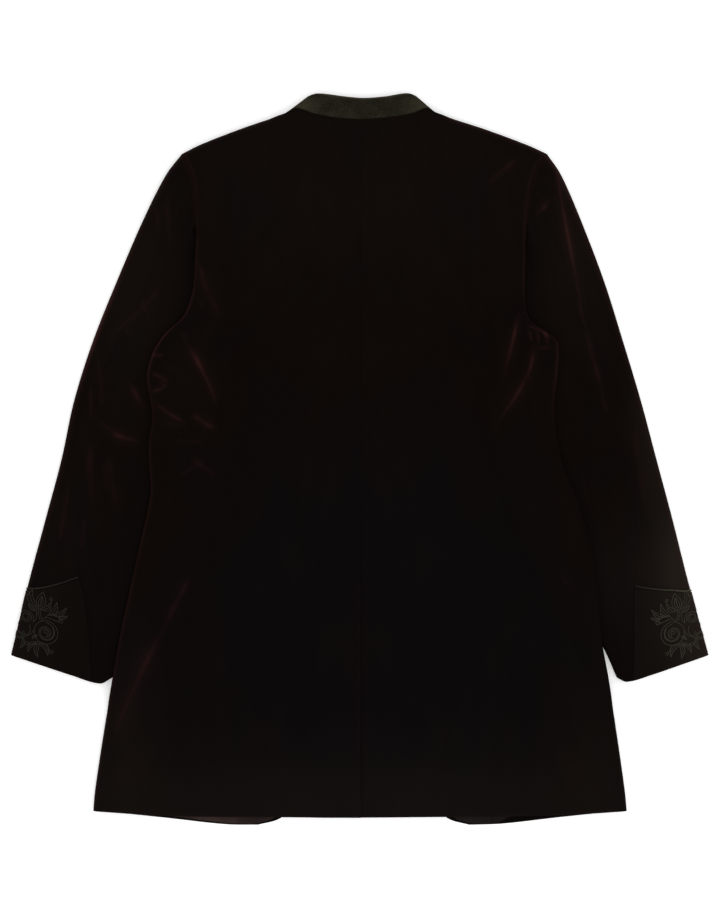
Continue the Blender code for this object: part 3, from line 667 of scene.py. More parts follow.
def edgeLight(values, y):
    everywhere, more, place, reach = values
    return everywhere + more * bell(y - place, reach)


def paleSheenPlaces(points, places):
    bloom = np.zeros(points.shape[:-1])
    for x, y, across, along, value in places:
        bloom += value * np.exp(-((points[..., 0] - x) / across) ** 2
                                - ((points[..., 1] - y) / along) ** 2)
    return bloom


def toneOf(points):
    # brown at the shoulders, the sides and the hem, blue-black in the middle of the skirt
    away = np.hypot((points[..., 0] - 20) / 240, (points[..., 1] + 200) / 265)
    return smooth((away - 0.45) / 0.85) * mix(0.6, 1, smooth((points[..., 1] + 330) / 230))


def marksOf(shine, tone, bloom):
    # painted highlight, tone and painted pale sheen of the velvet
    return {"nap": np.clip(shine, 0, 1), "tone": tone, "bloom": bloom}


def panelLines(side, kind):
    # lower, upper, side and centre edge of a body panel
    share = neckShare[kind]
    shoulder, collarSeam = curveThrough(shoulderLine[side]), curveThrough(neckLine[kind][side])

    def top(u):
        u = np.asarray(u, float)
        onShoulder = shoulder(np.clip(u / share, 0, 1))
        onNeck = collarSeam(np.clip((u - share) / (1 - share), 0, 1))
        return np.where((u <= share)[..., None], onShoulder, onNeck)

    def left(v):
        y = mix(hemY, tipY, np.asarray(v, float))
        return np.stack([bodyEdge(side, y), y], axis=-1)

    def middle(v):
        y = mix(centreHemY, centreNeckY, np.asarray(v, float))
        return np.stack([np.full_like(y, centreX), y], axis=-1)

    right = middle if kind == "back" else curveThrough(frontEdge[side])
    return curveThrough(hemLine[kind][side]), top, left, right


def bodyPanel(side, kind):
    look = back if kind == "back" else front
    share = neckShare[kind]
    bottom, top, left, right = panelLines(side, kind)
    span = tipY - hemY
    rollAngles = np.array((0, 14, 28, 42, 56, 72))
    nearHem = np.array((0, 0.5, 1.2, 2.2, 4))
    stops = (hemY + 6, *look["fineY"], tipY - edgeReach)
    flatRows = np.unique(np.concatenate([
        np.linspace(a, b, int((b - a) / step) + 1)
        for a, b, step in zip(stops, stops[1:], look["rowSpacing"])])) - hemY
    rollRows = span - edgeReach * (1 - turned(rollAngles[::-1])[0])
    v = np.concatenate([nearHem, flatRows, rollRows]) / span
    topAngle = np.concatenate([np.full(len(nearHem) + len(flatRows), 90), rollAngles[::-1]])
    y = mix(hemY, tipY, v)
    edge = left(v)
    low, high = bodyHeights(edge)
    reach = np.minimum(0.5 * (high - low), edgeReach)
    width = np.linalg.norm(left(v) - right(v), axis=-1)
    fine, full = look["fineShare"], width.max()
    places = np.unique(np.concatenate([
        np.linspace(0, fine, int(fine * full / look["spacing"][0])),
        np.linspace(fine, 1, int((1 - fine) * full / look["spacing"][1]))]))
    flat = mix((reach / width)[:, None], 1, places[None, :])
    nearEdge = 1 - np.array((1.6, 0.6))[None, :] / width[:, None]
    flat = np.concatenate([flat[:, :-1], nearEdge, flat[:, -1:]], axis=1)
    roll = reach[:, None] * (1 - turned(rollAngles)[0]) / width[:, None]
    u = np.concatenate([roll, flat], axis=1)
    sideAngle = np.concatenate([rollAngles, np.full(flat.shape[1], 90)])[None, :]
    v, y, topAngle, width = v[:, None], y[:, None], topAngle[:, None], width[:, None]
    rolled = sideRoll(y)
    (sideCos, sideSin), (topCos, topSin) = turned(sideAngle), turned(topAngle)
    overShoulder = 1 - smooth((u - share + 0.09) / 0.08)
    lift = mix(1, sideSin, rolled) * mix(1, topSin, overShoulder)
    grids, marks = [], None
    for depth, pu, pv in ((0, u, v + 0 * u),
                          (wall, u + rolled * wall * sideCos / width,
                           v - overShoulder * wall * topCos / span)):
        points = patch(bottom, top, left, right, pu, pv)
        x, y = points[..., 0], points[..., 1]
        low, high = bodyHeights(points)
        middle, half = 0.5 * (low + high), 0.5 * (high - low)
        half = np.maximum(half - depth, 0.1) * lift
        toEdge, toCentre = pu * width, (1 - pu) * width
        toHem, toNeck = pv * span, (1 - pv) * span
        free = 0.35 * wall * bell(toHem, 1)
        if kind == "back":
            z = middle + half + 0.5 * seamGap * (1 - lift)
            folds, crest = foldRelief(points, back["folds"])
            z += folds * lift
            onSeam = smooth((y - ventTopY) / 18)
            pucker = 1 + 0.25 * np.sin(y / 2.1) * np.sin(y / 31)
            z += seamDitch(toCentre, back["seamDepth"], 1.3) * pucker * onSeam
            z += seamDitch(toNeck, 1, 1.8) * (1 - overShoulder)
            z += seamDitch(toEdge, 0.7, 1.5) * (1 - rolled)
            free = free + 0.25 * bell(toCentre, 1) * (1 - onSeam)
            away = np.clip(np.minimum(toEdge, toCentre) / 30, 0, 1)
            z += back["undulation"] * away * unevenness(x, y, 190, 1.3)
            z += 0.45 * bell(toHem - back["hemDepth"], 5)
            if side == "left":
                z += ventRise(points)
            # painted highlight on the fold crests, the folded side edges, the shoulder and armhole
            # seams, the vent and the hem
            lit = edgeLight(back["edgeShine"][side], y)
            shine = crest + lit * bell(toEdge - 1.5, 1.6) * rolled
            shine += back["shoulderShine"][side] * bell(toNeck - 1, 2) * overShoulder
            shine += back["armholeShine"] * bell(toEdge - 1.6, 1.5) * (1 - rolled)
            shine += (back["ventShine"] * bell(toCentre - 1.5, 1) * (1 - onSeam)
                      + back["hemShine"] * bell(toHem, 2))
            # painted pale sheen at the shoulders, the sides and the hem
            bloom = paleSheenPlaces(points, back["paledBySheen"])
            z -= free if depth == 0 else -free
        else:
            z = middle - half - 0.5 * seamGap * (1 - lift)
            free = free + 0.6 * bell(toCentre, 1.2)
            z += free if depth == 0 else -free
            # painted highlight and painted pale sheen along the hem
            shine, bloom = 0.05 * bell(toHem, 1.5), 0.05 * bell(toHem, 8)
        grids.append(withHeight(points, z))
        if marks is None:
            marks = marksOf(shine, toneOf(points), bloom)
    return *grids, marks


front = {"spacing": (5, 6), "fineShare": 0.5, "fineY": (-45, 240),
         "rowSpacing": (5, 5, 5)}


def finishPiece(piece, nodes):
    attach(piece, "root")
    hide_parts(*nodes)


def addUnderlap(outer, inner, marks):
    # the right panel runs on under the left one below the vent's top
    strips = 12
    y = np.repeat(outer[:, -1:, 1], strips, axis=1)
    x = centreX - ventUnderlap * np.arange(1, strips + 1) / strips + 0 * y
    points = np.stack([x, y], axis=-1)
    _, high = bodyHeights(points)
    upper = high - 0.6 * bell(x - centreX + ventUnderlap, 1)
    outer, inner = (np.concatenate([grid, withHeight(points, z)], axis=1)
                    for grid, z in ((outer, upper), (inner, high - wall)))
    added = marksOf(0 * y, toneOf(points), 0 * y)
    marks = {k: np.concatenate([marks[k], added[k]], axis=1) for k in marks}
    keep = np.ones((outer.shape[0] - 1, outer.shape[1] - 1), bool)
    keep[outer[:-1, -1, 1] > ventTopY, -strips:] = False
    return outer, inner, marks, keep


def makeBody():
    for side in sides:
        isLeft = side == "left"
        outer, inner, marks = bodyPanel(side, "back")
        keep = None
        if not isLeft:
            outer, inner, marks, keep = addUnderlap(outer, inner, marks)
        piece = makeShell("back_panel_" + side, outer, inner, [velvet, satin], marks, keep,
                          not isLeft)
        finishPiece(piece, ["back_" + side])
        outer, inner, marks = bodyPanel(side, "front")
        piece = makeShell("front_panel_" + side, outer, inner, [velvet, velvet], marks, None,
                          isLeft)
        finishPiece(piece, ["front_" + side])
    print("body panels made")


# Sleeves and cuffs
sleeve = {
    "spacing": {"top": 2.2, "under": 2.4, "front": 4, "rows": 2.4},
    "seamDepth": 0.18,
    "folds": {
        "left": (
            (-223, 312, -220, 275, -217, 236, 2, 10, 0.14),
            (-221, 208, -250, 168, -298, 134, 3.2, 12, 0.14),
            (-302, 130, -300, 103, -296, 78, 2.4, 9, 0.14),
            (-306, 60, -300, 30, -250, 21, 3.6, 10, 0.12), (-268, 92, -258, 74, -250, 60, 2, 9, 0.34),
            (-310, 25, -309, -12, -308, -60, 2.2, 10, 0.14),
            (-290, 12, -286, -22, -278, -64, 1.8, 10, 0.14),
        ),
        "right": (
            (222, 342, 240, 250, 257, 160, 3.6, 11, 0.52), (257, 160, 268, 110, 280, 76, 3, 9, 0.28),
            (196, 284, 209, 288, 216, 306, 2.6, 9, 0.1), (313, 50, 321, 4, 327, -66, 2.2, 10, 0.16),
        ),
    },
    # small creases between them
    "creases": {
        "left": (
            (-252, 186, -248, 176, -243, 166, 0.4, 5, 0.2),
            (-272, 152, -266, 146, -262, 138, 0.4, 6, 0.14),
            (-310, 90, -310, 66, -308, 42, 0.4, 5, 0.22), (-297, 92, -296, 74, -298, 56, 0.4, 4, 0.2),
            (-292, 32, -272, 24, -246, 20, 0.6, 13, 0.36), (-266, 94, -253, 69, -243, 51, 0.4, 5, 0.28),
            (-312, 22, -311, -6, -311, -32, 0.4, 7, 0.15),
            (-296, 0, -292, -20, -287, -44, 0.4, 6, 0.13),
            (-334, -20, -340, -60, -346, -104, 0.5, 6, 0.22),
            (-316, -62, -318, -86, -322, -112, 0.4, 6, 0.12),
            (-236, 300, -232, 276, -230, 250, 0.4, 5, 0.12),
        ),
        "right": (
            (195, 284, 210, 279, 220, 304, 0.8, 4.5, 0.36),
            (249, 190, 254, 168, 260, 148, 0.5, 4, 0.26), (222, 340, 228, 318, 231, 290, 0.4, 4, 0.26),
            (276, 84, 281, 66, 284, 50, 0.4, 4, 0.14), (250, -10, 262, -44, 272, -84, 0.4, 7, 0.06),
            (352, -20, 358, -60, 366, -104, 0.4, 6, 0.16),
        ),
    },
    # places of painted pale sheen: x, y, reach across, reach along, strength
    "paledBySheen": (
        (-262, 220, 60, 160, 0.2), (-345, -60, 40, 120, 0.08),
        (250, 250, 50, 120, 0.19), (380, -120, 34, 100, 1.2),
        (338, 4, 16, 60, 0.34), (322, 62, 16, 46, 0.24),
        (330, -130, 70, 60, 0.2),
    ),
    # light along the outer folded edge: everywhere, more, at this y, over this reach
    "edgeShine": {"left": (0.16, 0.5, 150, 55), "right": (0.14, 0.2, 340, 60)},
    "mouthShine": 0.1,
    "seamShine": 0.02,
}
cuff = {"spacing": 2, "rows": 44, "bloom": {"left": 0.05, "right": 0.16},
        "bloomAtEdge": {"left": 4, "right": 5}, "edgeShine": 0.16, "tone": 0.7,
        "hemShine": 0.06, "thinning": 1.1, "floorShare": 0.92}


def seamShare(side, s):
    # the elbow seam's share of the width at a share of the length
    return tableValue(elbowSeam[side][:, 0], elbowSeam[side][:, 1], s)


def sleevePoint(side, u, s):
    return patch(mouthLines[side], cuffLines[side], outerLines[side], innerLines[side], u, s)


def sleeveBottom(s):
    start, span = cuffRaise
    return cuffHeight * smooth((s - start) / span)


def sleeveTop(side, points, u, s, withCreases=False):
    head = (1 - smooth(s / sleeveHead)) * (1 - smooth((u - headEdge) / headFade))
    top = sleeveThick + (plainTop(points) - sleeveThick) * head
    beyond = outward(side) * (points[..., 0] - bodyEdge(side, points[..., 1]))
    beyond = np.where(s <= 0, 0, beyond)
    clear = smooth((beyond - 2) / foldClear) * smooth((cuffStart - s) / 0.05)
    folds, crest = foldRelief(points, sleeve["folds"][side])
    if withCreases:
        creases, lines = foldRelief(points, sleeve["creases"][side])
        folds, crest = folds + creases, crest + lines
    return top + folds * clear, crest * clear


def foldSize(side, s, edge):
    width = np.linalg.norm(sleevePoint(side, 0, s) - sleevePoint(side, 1, s), axis=-1)
    width = np.where(s <= 0, tipY - tuckY, width)
    points = sleevePoint(side, edge, s)
    half = 0.5 * (sleeveTop(side, points, edge, s)[0] - sleeveBottom(s))
    return width, np.minimum(half, edgeReach)


def tubePlace(side, u, angle, edge, s, offset):
    # u: shares of the width; angle: place round the fold of that edge; s: shares of the length
    station = s[:, :1] if np.ptp(s, axis=1).max() == 0 else s
    cos, sin = turned(angle)
    for k in (0, 1):
        width, reach = foldSize(side, station, k)
        d = (reach - (reach + offset) * cos) / width
        bent = (np.abs(angle) < 90) & (edge == k)
        u = np.where(bent, d if k == 0 else 1 - d, u)
    points = sleevePoint(side, u, s)
    high, crest = sleeveTop(side, points, u, s, angle.max() > 0)
    low = sleeveBottom(s)
    middle, half = 0.5 * (low + high), 0.5 * (high - low)
    z = middle + (half + offset) * sin
    return withHeight(points, z), u, crest


def tubeColumns(side, s, name, spacing):
    # columns of one piece of the sleeve round the tube: share, angle, edge, one row a station
    station = s[:, None]
    seam = seamShare(side, s)[:, None]
    width, reach = foldSize(side, station, 0)
    _, innerReach = foldSize(side, station, 1)
    fold, innerFold = reach / width, 1 - innerReach / width
    angles = np.array((75, 60, 45, 30, 15, 1.4))
    rows = np.ones_like(station)
    full = float(width.max())

    def flat(start, end, sign, share):
        t = np.linspace(0, 1, max(int(full * share / spacing), 4))[None, :]
        return mix(start, end, t) * rows, np.full(t.shape, 90 * sign), np.zeros(t.shape)

    def bend(which, edge):
        return (np.zeros((1, len(which))) * rows, np.array(which)[None, :],
                np.full((1, len(which)), edge))

    above = [flat(seam, fold, 1, 0.62), bend(angles, 0)]
    below = [bend(-angles[::-1], 0), flat(fold, innerFold, -1, 0.7)]
    parts = {
        "top": above,
        "front": below + [bend(-angles, 1)],
        "under": [bend(angles[::-1], 1), flat(innerFold, seam, 1, 0.9)],
        "cuff": above + [below[0], flat(fold, cuff["floorShare"], -1, 0.7)],
    }[name]
    return tuple(np.concatenate([p[k] * (rows if k == 0 else 1) for p in parts], axis=1)
                 for k in range(3))


def tubeMarks(side, points, u, angle, s, crest):
    width = foldSize(side, s[:, :1], 0)[0]
    seam = seamShare(side, s)
    length = outerLines[side].length
    shown = turned(angle)[1] * np.ones_like(u)
    toSeam, toMouth, toHem = np.abs(u - seam) * width, s * length, (1 - s) * length
    above = smooth(shown / 0.4)
    # painted highlight on the fold crests, the folded outer edge, the elbow seam and the sleeve head
    shine = crest + edgeLight(sleeve["edgeShine"][side], points[..., 1]) * bell(
        u * width - 1.5, 2.4)
    shine += sleeve["seamShine"] * bell(toSeam - 1.5, 1.5) * smooth((s - 0.62) / 0.2) * above
    shine += sleeve["mouthShine"] * bell(toMouth - 2, 1.6) * above
    ditch = seamDitch(toSeam, sleeve["seamDepth"], 1.4) * above
    head = smooth((headEdge + headFade - u) / headFade) * above
    ditch += (seamDitch(toMouth, 0.7, 1.5) + 0.9 * bell(toMouth - 11, 6)) * head
    ditch -= 0.6 * bell(toHem, 1) * above
    tone = np.clip(toneOf(points) + 0.5, 0, 1) * mix(0.55, 1, smooth(
        (points[..., 1] + 210) / 260))
    # painted pale sheen along the sleeves' heads and outer edges
    bloom = paleSheenPlaces(points, sleeve["paledBySheen"])
    return marksOf(shine, tone, bloom), ditch


def makeSleeves():
    for side in sides:
        length = outerLines[side].length
        nearMouth = np.array((0, 1.2, 2.6, 4.4)) / length
        nearHem = 1 - np.array((3.2, 1.8, 0.8, 0)) / length
        s = np.concatenate([nearMouth, np.linspace(7 / length, 1 - 6 / length,
                                                   int(length / sleeve["spacing"]["rows"])),
                            nearHem])
        for name in ("top", "front", "under"):
            u, angle, edge = tubeColumns(side, s, name, sleeve["spacing"][name])
            stations = s[:, None] + 0 * u
            outer, place, crest = tubePlace(side, u, angle, edge, stations, 0)
            inner, _, _ = tubePlace(side, u, angle, edge, stations, -wall)
            marks, ditch = tubeMarks(side, outer, place, angle, stations, crest)
            outer[..., 2] += ditch
            inner[..., 2] += ditch
            piece = makeShell("sleeve_" + name + "_shell_" + side, outer, inner, [velvet, satin],
                              marks, None, side == "right")
            finishPiece(piece, ["sleeve_" + name + "_" + side])
    print("sleeves made")


def cuffColumns(side):
    # columns round a cuff and the share of the length where each begins
    s = np.array((cuffStart,))
    u, angle, edge = tubeColumns(side, s, "cuff", cuff["spacing"])
    seam = seamShare(side, s)[:, None]
    width, reach = foldSize(side, s[:, None], 0)
    shown = np.where(np.abs(angle) < 90, (1 - turned(angle)[0]) * reach / width, u)
    shown = np.where(angle > 0, shown / seam, 0)
    start = tableValue(cuffEdge[side][:, 0], cuffEdge[side][:, 1], shown)
    share = np.where(angle > 0, (seam - u) / (seam - reach / width), u)
    return share, angle, edge, start


def cuffPlace(side, columns, s, offset):
    # columns keep their share of the way from the elbow seam to the fold
    share, angle, edge, _ = columns
    seam = seamShare(side, s)
    width, reach = foldSize(side, s, 0)
    u = np.where(angle > 0, mix(seam, reach / width, share), share)
    return tubePlace(side, u, angle, edge, s, offset)


def makeCuffs():
    for side in sides:
        length = outerLines[side].length
        columns = cuffColumns(side)
        angle = columns[1]
        start = columns[3] + (1.3 + seamGap) / length
        rows = np.linspace(0, 1, cuff["rows"])
        rows = np.concatenate([rows[:1], (0.008,), rows[1:-1], (0.992,), rows[-1:]])[:, None]
        s = mix(start, 1, rows)
        outer, place, _ = cuffPlace(side, columns, s, seamGap + cuffWall)
        inner, _, _ = cuffPlace(side, columns, s, seamGap)
        width = foldSize(side, s, 0)[0]
        fromSeam = (outer[..., 0] - outer[:, :1, 0]) * outward(side)
        fromSeam = np.where(angle > 0, np.abs(fromSeam), 99)
        outer[..., 2] -= cuff["thinning"] * (1 - smooth(fromSeam / 12))
        toHem, toTop = (1 - s) * length, (s - start) * length
        above = smooth(turned(angle)[1] / 0.4)
        outer[..., 2] -= 0.5 * (bell(toHem, 1) + bell(toTop, 1)) * above
        # painted highlight along the folded edge and the hem
        shine = cuff["edgeShine"] * bell(place * width - 1, 2) + cuff["hemShine"] * bell(
            toHem, 2)
        # painted pale sheen, stronger towards the folded edge and on the right cuff
        bloom = cuff["bloom"][side] * (1 + cuff["bloomAtEdge"][side] * bell(place * width, 40))
        marks = marksOf(shine, np.full(place.shape, cuff["tone"]), bloom)
        piece = makeShell("cuff_shell_" + side, outer, inner, [cuffVelvet, satin], marks, None,
                          side == "right")
        finishPiece(piece, ["cuff_" + side])
    print("cuffs made")


# Cords: piping along the cuffs and the couched scroll on them
def cordMesh(paths, radius, count=8, twist=2.4, depth=0.14, squash=1):
    # each path: points and the directions away from the cloth, evenly spaced
    vertices, faces, uv, mark = [], [], [], []
    base = 0
    angle = np.linspace(0, 2 * math.pi, count, endpoint=False)
    for points, up in paths:
        tangent = np.gradient(points, axis=0)
        tangent /= np.linalg.norm(tangent, axis=1)[:, None]
        across = np.cross(tangent, up)
        across /= np.linalg.norm(across, axis=1)[:, None]
        normal = np.cross(across, tangent)
        run = runOf(points)
        lobe = np.cos(2 * angle[None, :] - twist * run[:, None] / radius)
        ends = np.sqrt(np.clip(np.minimum(run, run[-1] - run) / radius, 0.04, 1))
        r = radius * (1 - depth + depth * lobe) * ends[:, None]
        ring = (points[:, None, :] + across[:, None, :] * (r * np.cos(angle))[..., None]
                + normal[:, None, :] * (squash * r * np.sin(angle))[..., None])
        vertices.append(ring.reshape(-1, 3))
        uv.append(np.stack([np.tile(angle * radius, len(points)),
                            np.repeat(run, count)], axis=-1))
        # painted highlight on the ridges of the twist
        mark.append((0.5 + 0.5 * lobe).ravel() * 0.5)
        i = np.arange(len(points) - 1)[:, None] * count
        j, k = np.arange(count)[None, :], (np.arange(count)[None, :] + 1) % count
        quads = np.stack([i + j, i + k, i + k + count, i + j + count], axis=-1).reshape(-1, 4)
        faces += (quads + base).tolist()
        faces.append((base + np.arange(count)[::-1]).tolist())
        faces.append((base + (len(points) - 1) * count + np.arange(count)).tolist())
        base += len(points) * count
    return np.concatenate(vertices), faces, np.concatenate(uv), np.concatenate(mark)


def evenly(points, step):
    points = np.asarray(points, float)
    run = runOf(points)
    places = np.linspace(0, run[-1], max(int(run[-1] / step), 4))
    return np.stack([np.interp(places, run, points[:, k]) for k in range(points.shape[1])], axis=1)


piping = {"radius": 1, "height": 0.9, "flatness": 0.85, "step": 0.5, "twist": 0.9,
          "bright": {"left": 0.22, "right": 0.8}, "shownShare": 0.42, "twistShare": 0.12}
# The scroll is laid out on the opened cuff: millimetres in from the folded edge, and down
# from where it starts. Ring: centre, first radius, last radius, first angle, turns.
scroll = {
    "radius": 0.46,
    "height": 0.35,
    "step": 0.4,
    "start": 0.8475,
    "measuredAt": 0.93,
    "bright": {"left": (0.95, 0), "right": (1.3, 0.14)},
    "rings": (
        ((35.5, 51.5), 14.3, 13.4, 235, 1.02), ((35.5, 51.5), 12, 4.6, 250, 1.55),
        ((35.5, 51.5), 10.4, 3.6, 300, 1.1), ((34.8, 50.4), 1.9, 1.9, 0, 1),
        ((39.3, 52.6), 1.6, 1.6, 0, 1), ((10.5, 43), 8.6, 3.2, 20, -1.35),
        ((10.5, 43), 6.4, 1.4, 20, -1.25), ((7, 64.5), 6.6, 2, -60, 1.3),
        ((7, 64.5), 4.8, 1.2, -60, 1.1), ((47.5, 31.5), 3.2, 1.2, 120, 1.4),
        ((18.5, 71.5), 1.8, 1.8, 0, 1), ((49, 71.5), 1.8, 1.8, 0, 1), ((30, 11.5), 2, 0.9, 0, 1.3),
        ((6, 17), 3.2, 1.2, 90, 1.4),
    ),
    "stems": (
        ((26.2, 40.6), (23.4, 37), (21.2, 33), (20.4, 28)),
        ((28.4, 39.2), (26, 36.4), (23.6, 33), (22.2, 28)),
        ((18.6, 46), (20.8, 41), (20.2, 36), (19, 31)),
        ((27.6, 38), (31, 34.6), (36, 33.6), (44.4, 33.6)),
        ((15.6, 50.2), (18, 56), (16.6, 62), (11.6, 68.6)),
        ((21.4, 54), (20.4, 59), (17.6, 62), (13.4, 63.4)),
        ((30, 64.8), (28, 68), (25, 70.6), (20.2, 71.6)),
        ((41, 64.6), (43.6, 67.6), (46, 70), (47.4, 70.8)),
        ((4.4, 36), (1, 30), (1.6, 24), (4, 19.6)),
        ((30, 34.6), (34, 29), (41, 27.4), (46, 28.6)),
    ),
    # leaves: base, tip, width, bend
    "leaves": (
        ((20.8, 28), (20, 8), 10.5, 0.5), ((20.8, 26), (20.2, 13), 5.2, 0.3),
        ((19.2, 29), (9.4, 10.5), 6, -4.6), ((22.6, 28), (31, 14.5), 5, 3.4),
        ((18.6, 31.5), (8.6, 28), 3.6, -1.6), ((33, 31), (37, 12), 5.4, 2.6),
        ((37, 28.6), (48.5, 13), 4.8, 3), ((43, 28), (52.5, 21.5), 3.6, 1.6),
        ((31.5, 66.4), (46, 77), 5.8, -4), ((31, 66.6), (35, 83), 5.2, 2.4),
        ((29, 66.4), (22, 81), 4.6, 3), ((27.4, 58.6), (22.6, 64.8), 2.8, 1),
        ((13, 68), (12, 80), 4, -1.4), ((3, 53.5), (-5, 57), 3.6, 1.4),
        ((2, 37.5), (-5.5, 31), 3.8, -1.4),
    ),
}


def ringPath(centre, first, last, angle, turns):
    t = np.linspace(0, 1, 90)
    turn = np.radians(angle) + 2 * math.pi * turns * t
    r = mix(first, last, t ** 0.8)
    return np.stack([centre[0] + r * np.cos(turn), centre[1] + r * np.sin(turn)], axis=1)


def leafPaths(base, tip, width, bend):
    base, tip = np.array(base), np.array(tip)
    t = np.linspace(0, 1, 40)[:, None]
    run = tip - base
    normal = np.array((-run[1], run[0])) / np.linalg.norm(run)
    middle = base + run * t + normal * bend * np.sin(math.pi * t)
    belly = 0.5 * width * np.sin(math.pi * t ** 0.75)
    vein = middle[4:30]
    return [np.concatenate([middle + normal * belly, (middle - normal * belly)[::-1]]), vein]


def makeCords():
    for side in sides:
        length = outerLines[side].length
        # piping, round the sleeve at the cuff's upper edge, with a painted highlight that is duller
        # towards the elbow seam and strongest on the right sleeve
        columns = cuffColumns(side)
        places = []
        for lift in (0, 1):
            offset = seamGap + piping["height"] + lift
            spot, _, _ = cuffPlace(side, columns, columns[3], offset)
            places.append(evenly(spot[0], piping["step"]))
        count = min(len(places[0]), len(places[1]))
        path, up = (place[:count] for place in places)
        up = np.where(np.linalg.norm(up - path, axis=1)[:, None] > 0.2, up - path,
                      np.array((0, 0, 1)))
        up[np.abs(path[:, 2] - path[:, 2].max()) < 2] = (0, 0, 1)
        vertices, faces, uv, mark = cordMesh([(path, up)], piping["radius"], 12, piping["twist"],
                                             0.1, piping["flatness"])
        # painted highlight growing from the elbow seam towards the folded edge
        onward = np.clip(uv[:, 1] / uv[:, 1].max() / piping["shownShare"], 0, 1)
        mark = mark * piping["twistShare"] + piping["bright"][side] * onward ** 1.3
        piece = makeMesh("cuff_piping_cord_" + side, vertices, faces, uv, [pipingCord],
                         None, {"nap": mark})
        finishPiece(piece, ["cuff_piping_" + side])

        # scroll, couched on the cuff's shown side and over its folded edge
        start = scroll["start"]
        width, reach = foldSize(side, np.array(((scroll["measuredAt"],),)), 0)
        width, reach = float(width[0, 0]), float(reach[0, 0])
        arc = 0.5 * math.pi * reach

        def onCuff(flat, height):
            p, q = flat[:, 0], flat[:, 1]
            s = start + (q + 2) / length
            bent = p < arc
            angle = np.where(bent, 90 * p / arc, 90)
            angle = np.clip(angle, -70, 90)[:, None]
            u = np.where(bent, 0, (reach + p - arc) / width)[:, None]
            spots, _, _ = tubePlace(side, u, angle, np.zeros_like(u), s[:, None],
                                    seamGap + cuffWall + height)
            return spots[:, 0]

        flats = [ringPath(*ring) for ring in scroll["rings"]]
        flats += [curveThrough(stem)(np.linspace(0, 1, 40)) for stem in scroll["stems"]]
        for leaf in scroll["leaves"]:
            flats += leafPaths(*leaf)
        paths = []
        for flat in flats:
            flat = evenly(flat, scroll["step"])
            low, high = (onCuff(flat, scroll["height"] + lift) for lift in (0, 1))
            paths.append((low, high - low))
        vertices, faces, uv, mark = cordMesh(paths, scroll["radius"])
        # painted light: the right scroll is painted brighter than the left
        mark = mark * scroll["bright"][side][0] + scroll["bright"][side][1]
        piece = makeMesh("cuff_scroll_" + side, vertices, faces, uv, [scrollCord], None,
                         {"nap": mark})
        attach(piece, "root")
    print("piping and scrolls made")


# Collar
collar = {"rows": 18, "depth": 24, "across": 1.6, "lap": -0.5, "middle": 2.5, "shownFrom": 12,
          "stitchDown": 3.6, "stitch": 2.4, "stitchGap": 1.1, "stitchStep": 0.4}


def collarPoint(side, u, v, isBack):
    seam = curveThrough(neckLine["back" if isBack else "front"][side])(u)
    if isBack:
        ends = collarTop if side == "left" else collarTop[::-1]
        rim = curveThrough(ends)(0.5 * u)
    else:
        rim = curveThrough(collarInside[side])(u)
    length = np.linalg.norm(seam - rim, axis=-1)
    return mix(seam, rim, mix(collar["lap"] / length, 1, v)[..., None]), length


def collarGrid(offset):
    v = np.linspace(0, 1, collar["rows"])
    v = np.sort(np.concatenate([v, (0.015, 0.03, 0.95, 0.985)]))[:, None]
    angles = np.array((75, 60, 45, 30, 15, 0))
    count = int(collarHalf / collar["across"])
    rows = []
    for side in sides:
        fold, _ = collarPoint(side, np.zeros_like(v), v, True)
        half = 0.5 * bodyHeights(fold)[1]
        reach = np.minimum(half, edgeReach)
        first = reach / collarHalf
        floorU = mix(collarOpening, first, np.linspace(0, 1, count)[None, :])
        backU = mix(first, 1, np.linspace(0, 1, count)[None, :])
        bend = np.concatenate([-angles, angles[:-1][::-1]])[None, :]
        cos, sin = turned(bend)
        bendU = (reach - (reach + offset) * cos) / collarHalf
        layers = []
        for u, s, isBack in ((floorU, -1, False), (bendU, sin, None), (backU, 1, True)):
            u = u + 0 * v
            if isBack is None:
                floorSpot, _ = collarPoint(side, np.maximum(u, 0), v + 0 * u, False)
                backSpot, size = collarPoint(side, np.maximum(u, 0), v + 0 * u, True)
                spot = np.where((bend > 0)[..., None] & np.ones_like(u, bool)[..., None],
                                backSpot, floorSpot)
                spot = spot + np.minimum(u, 0)[..., None] * collarHalf * np.array(
                    (-outward(side), 0))
            else:
                spot, size = collarPoint(side, u, v + 0 * u, isBack)
            half = 0.5 * plainTop(spot)
            z = half + (half + offset) * s
            layers.append(withHeight(spot, z))
        row = np.concatenate(layers, axis=1)
        rows.append(row if side == "left" else row[:, ::-1][:, 1:])
    return np.concatenate(rows, axis=1), v


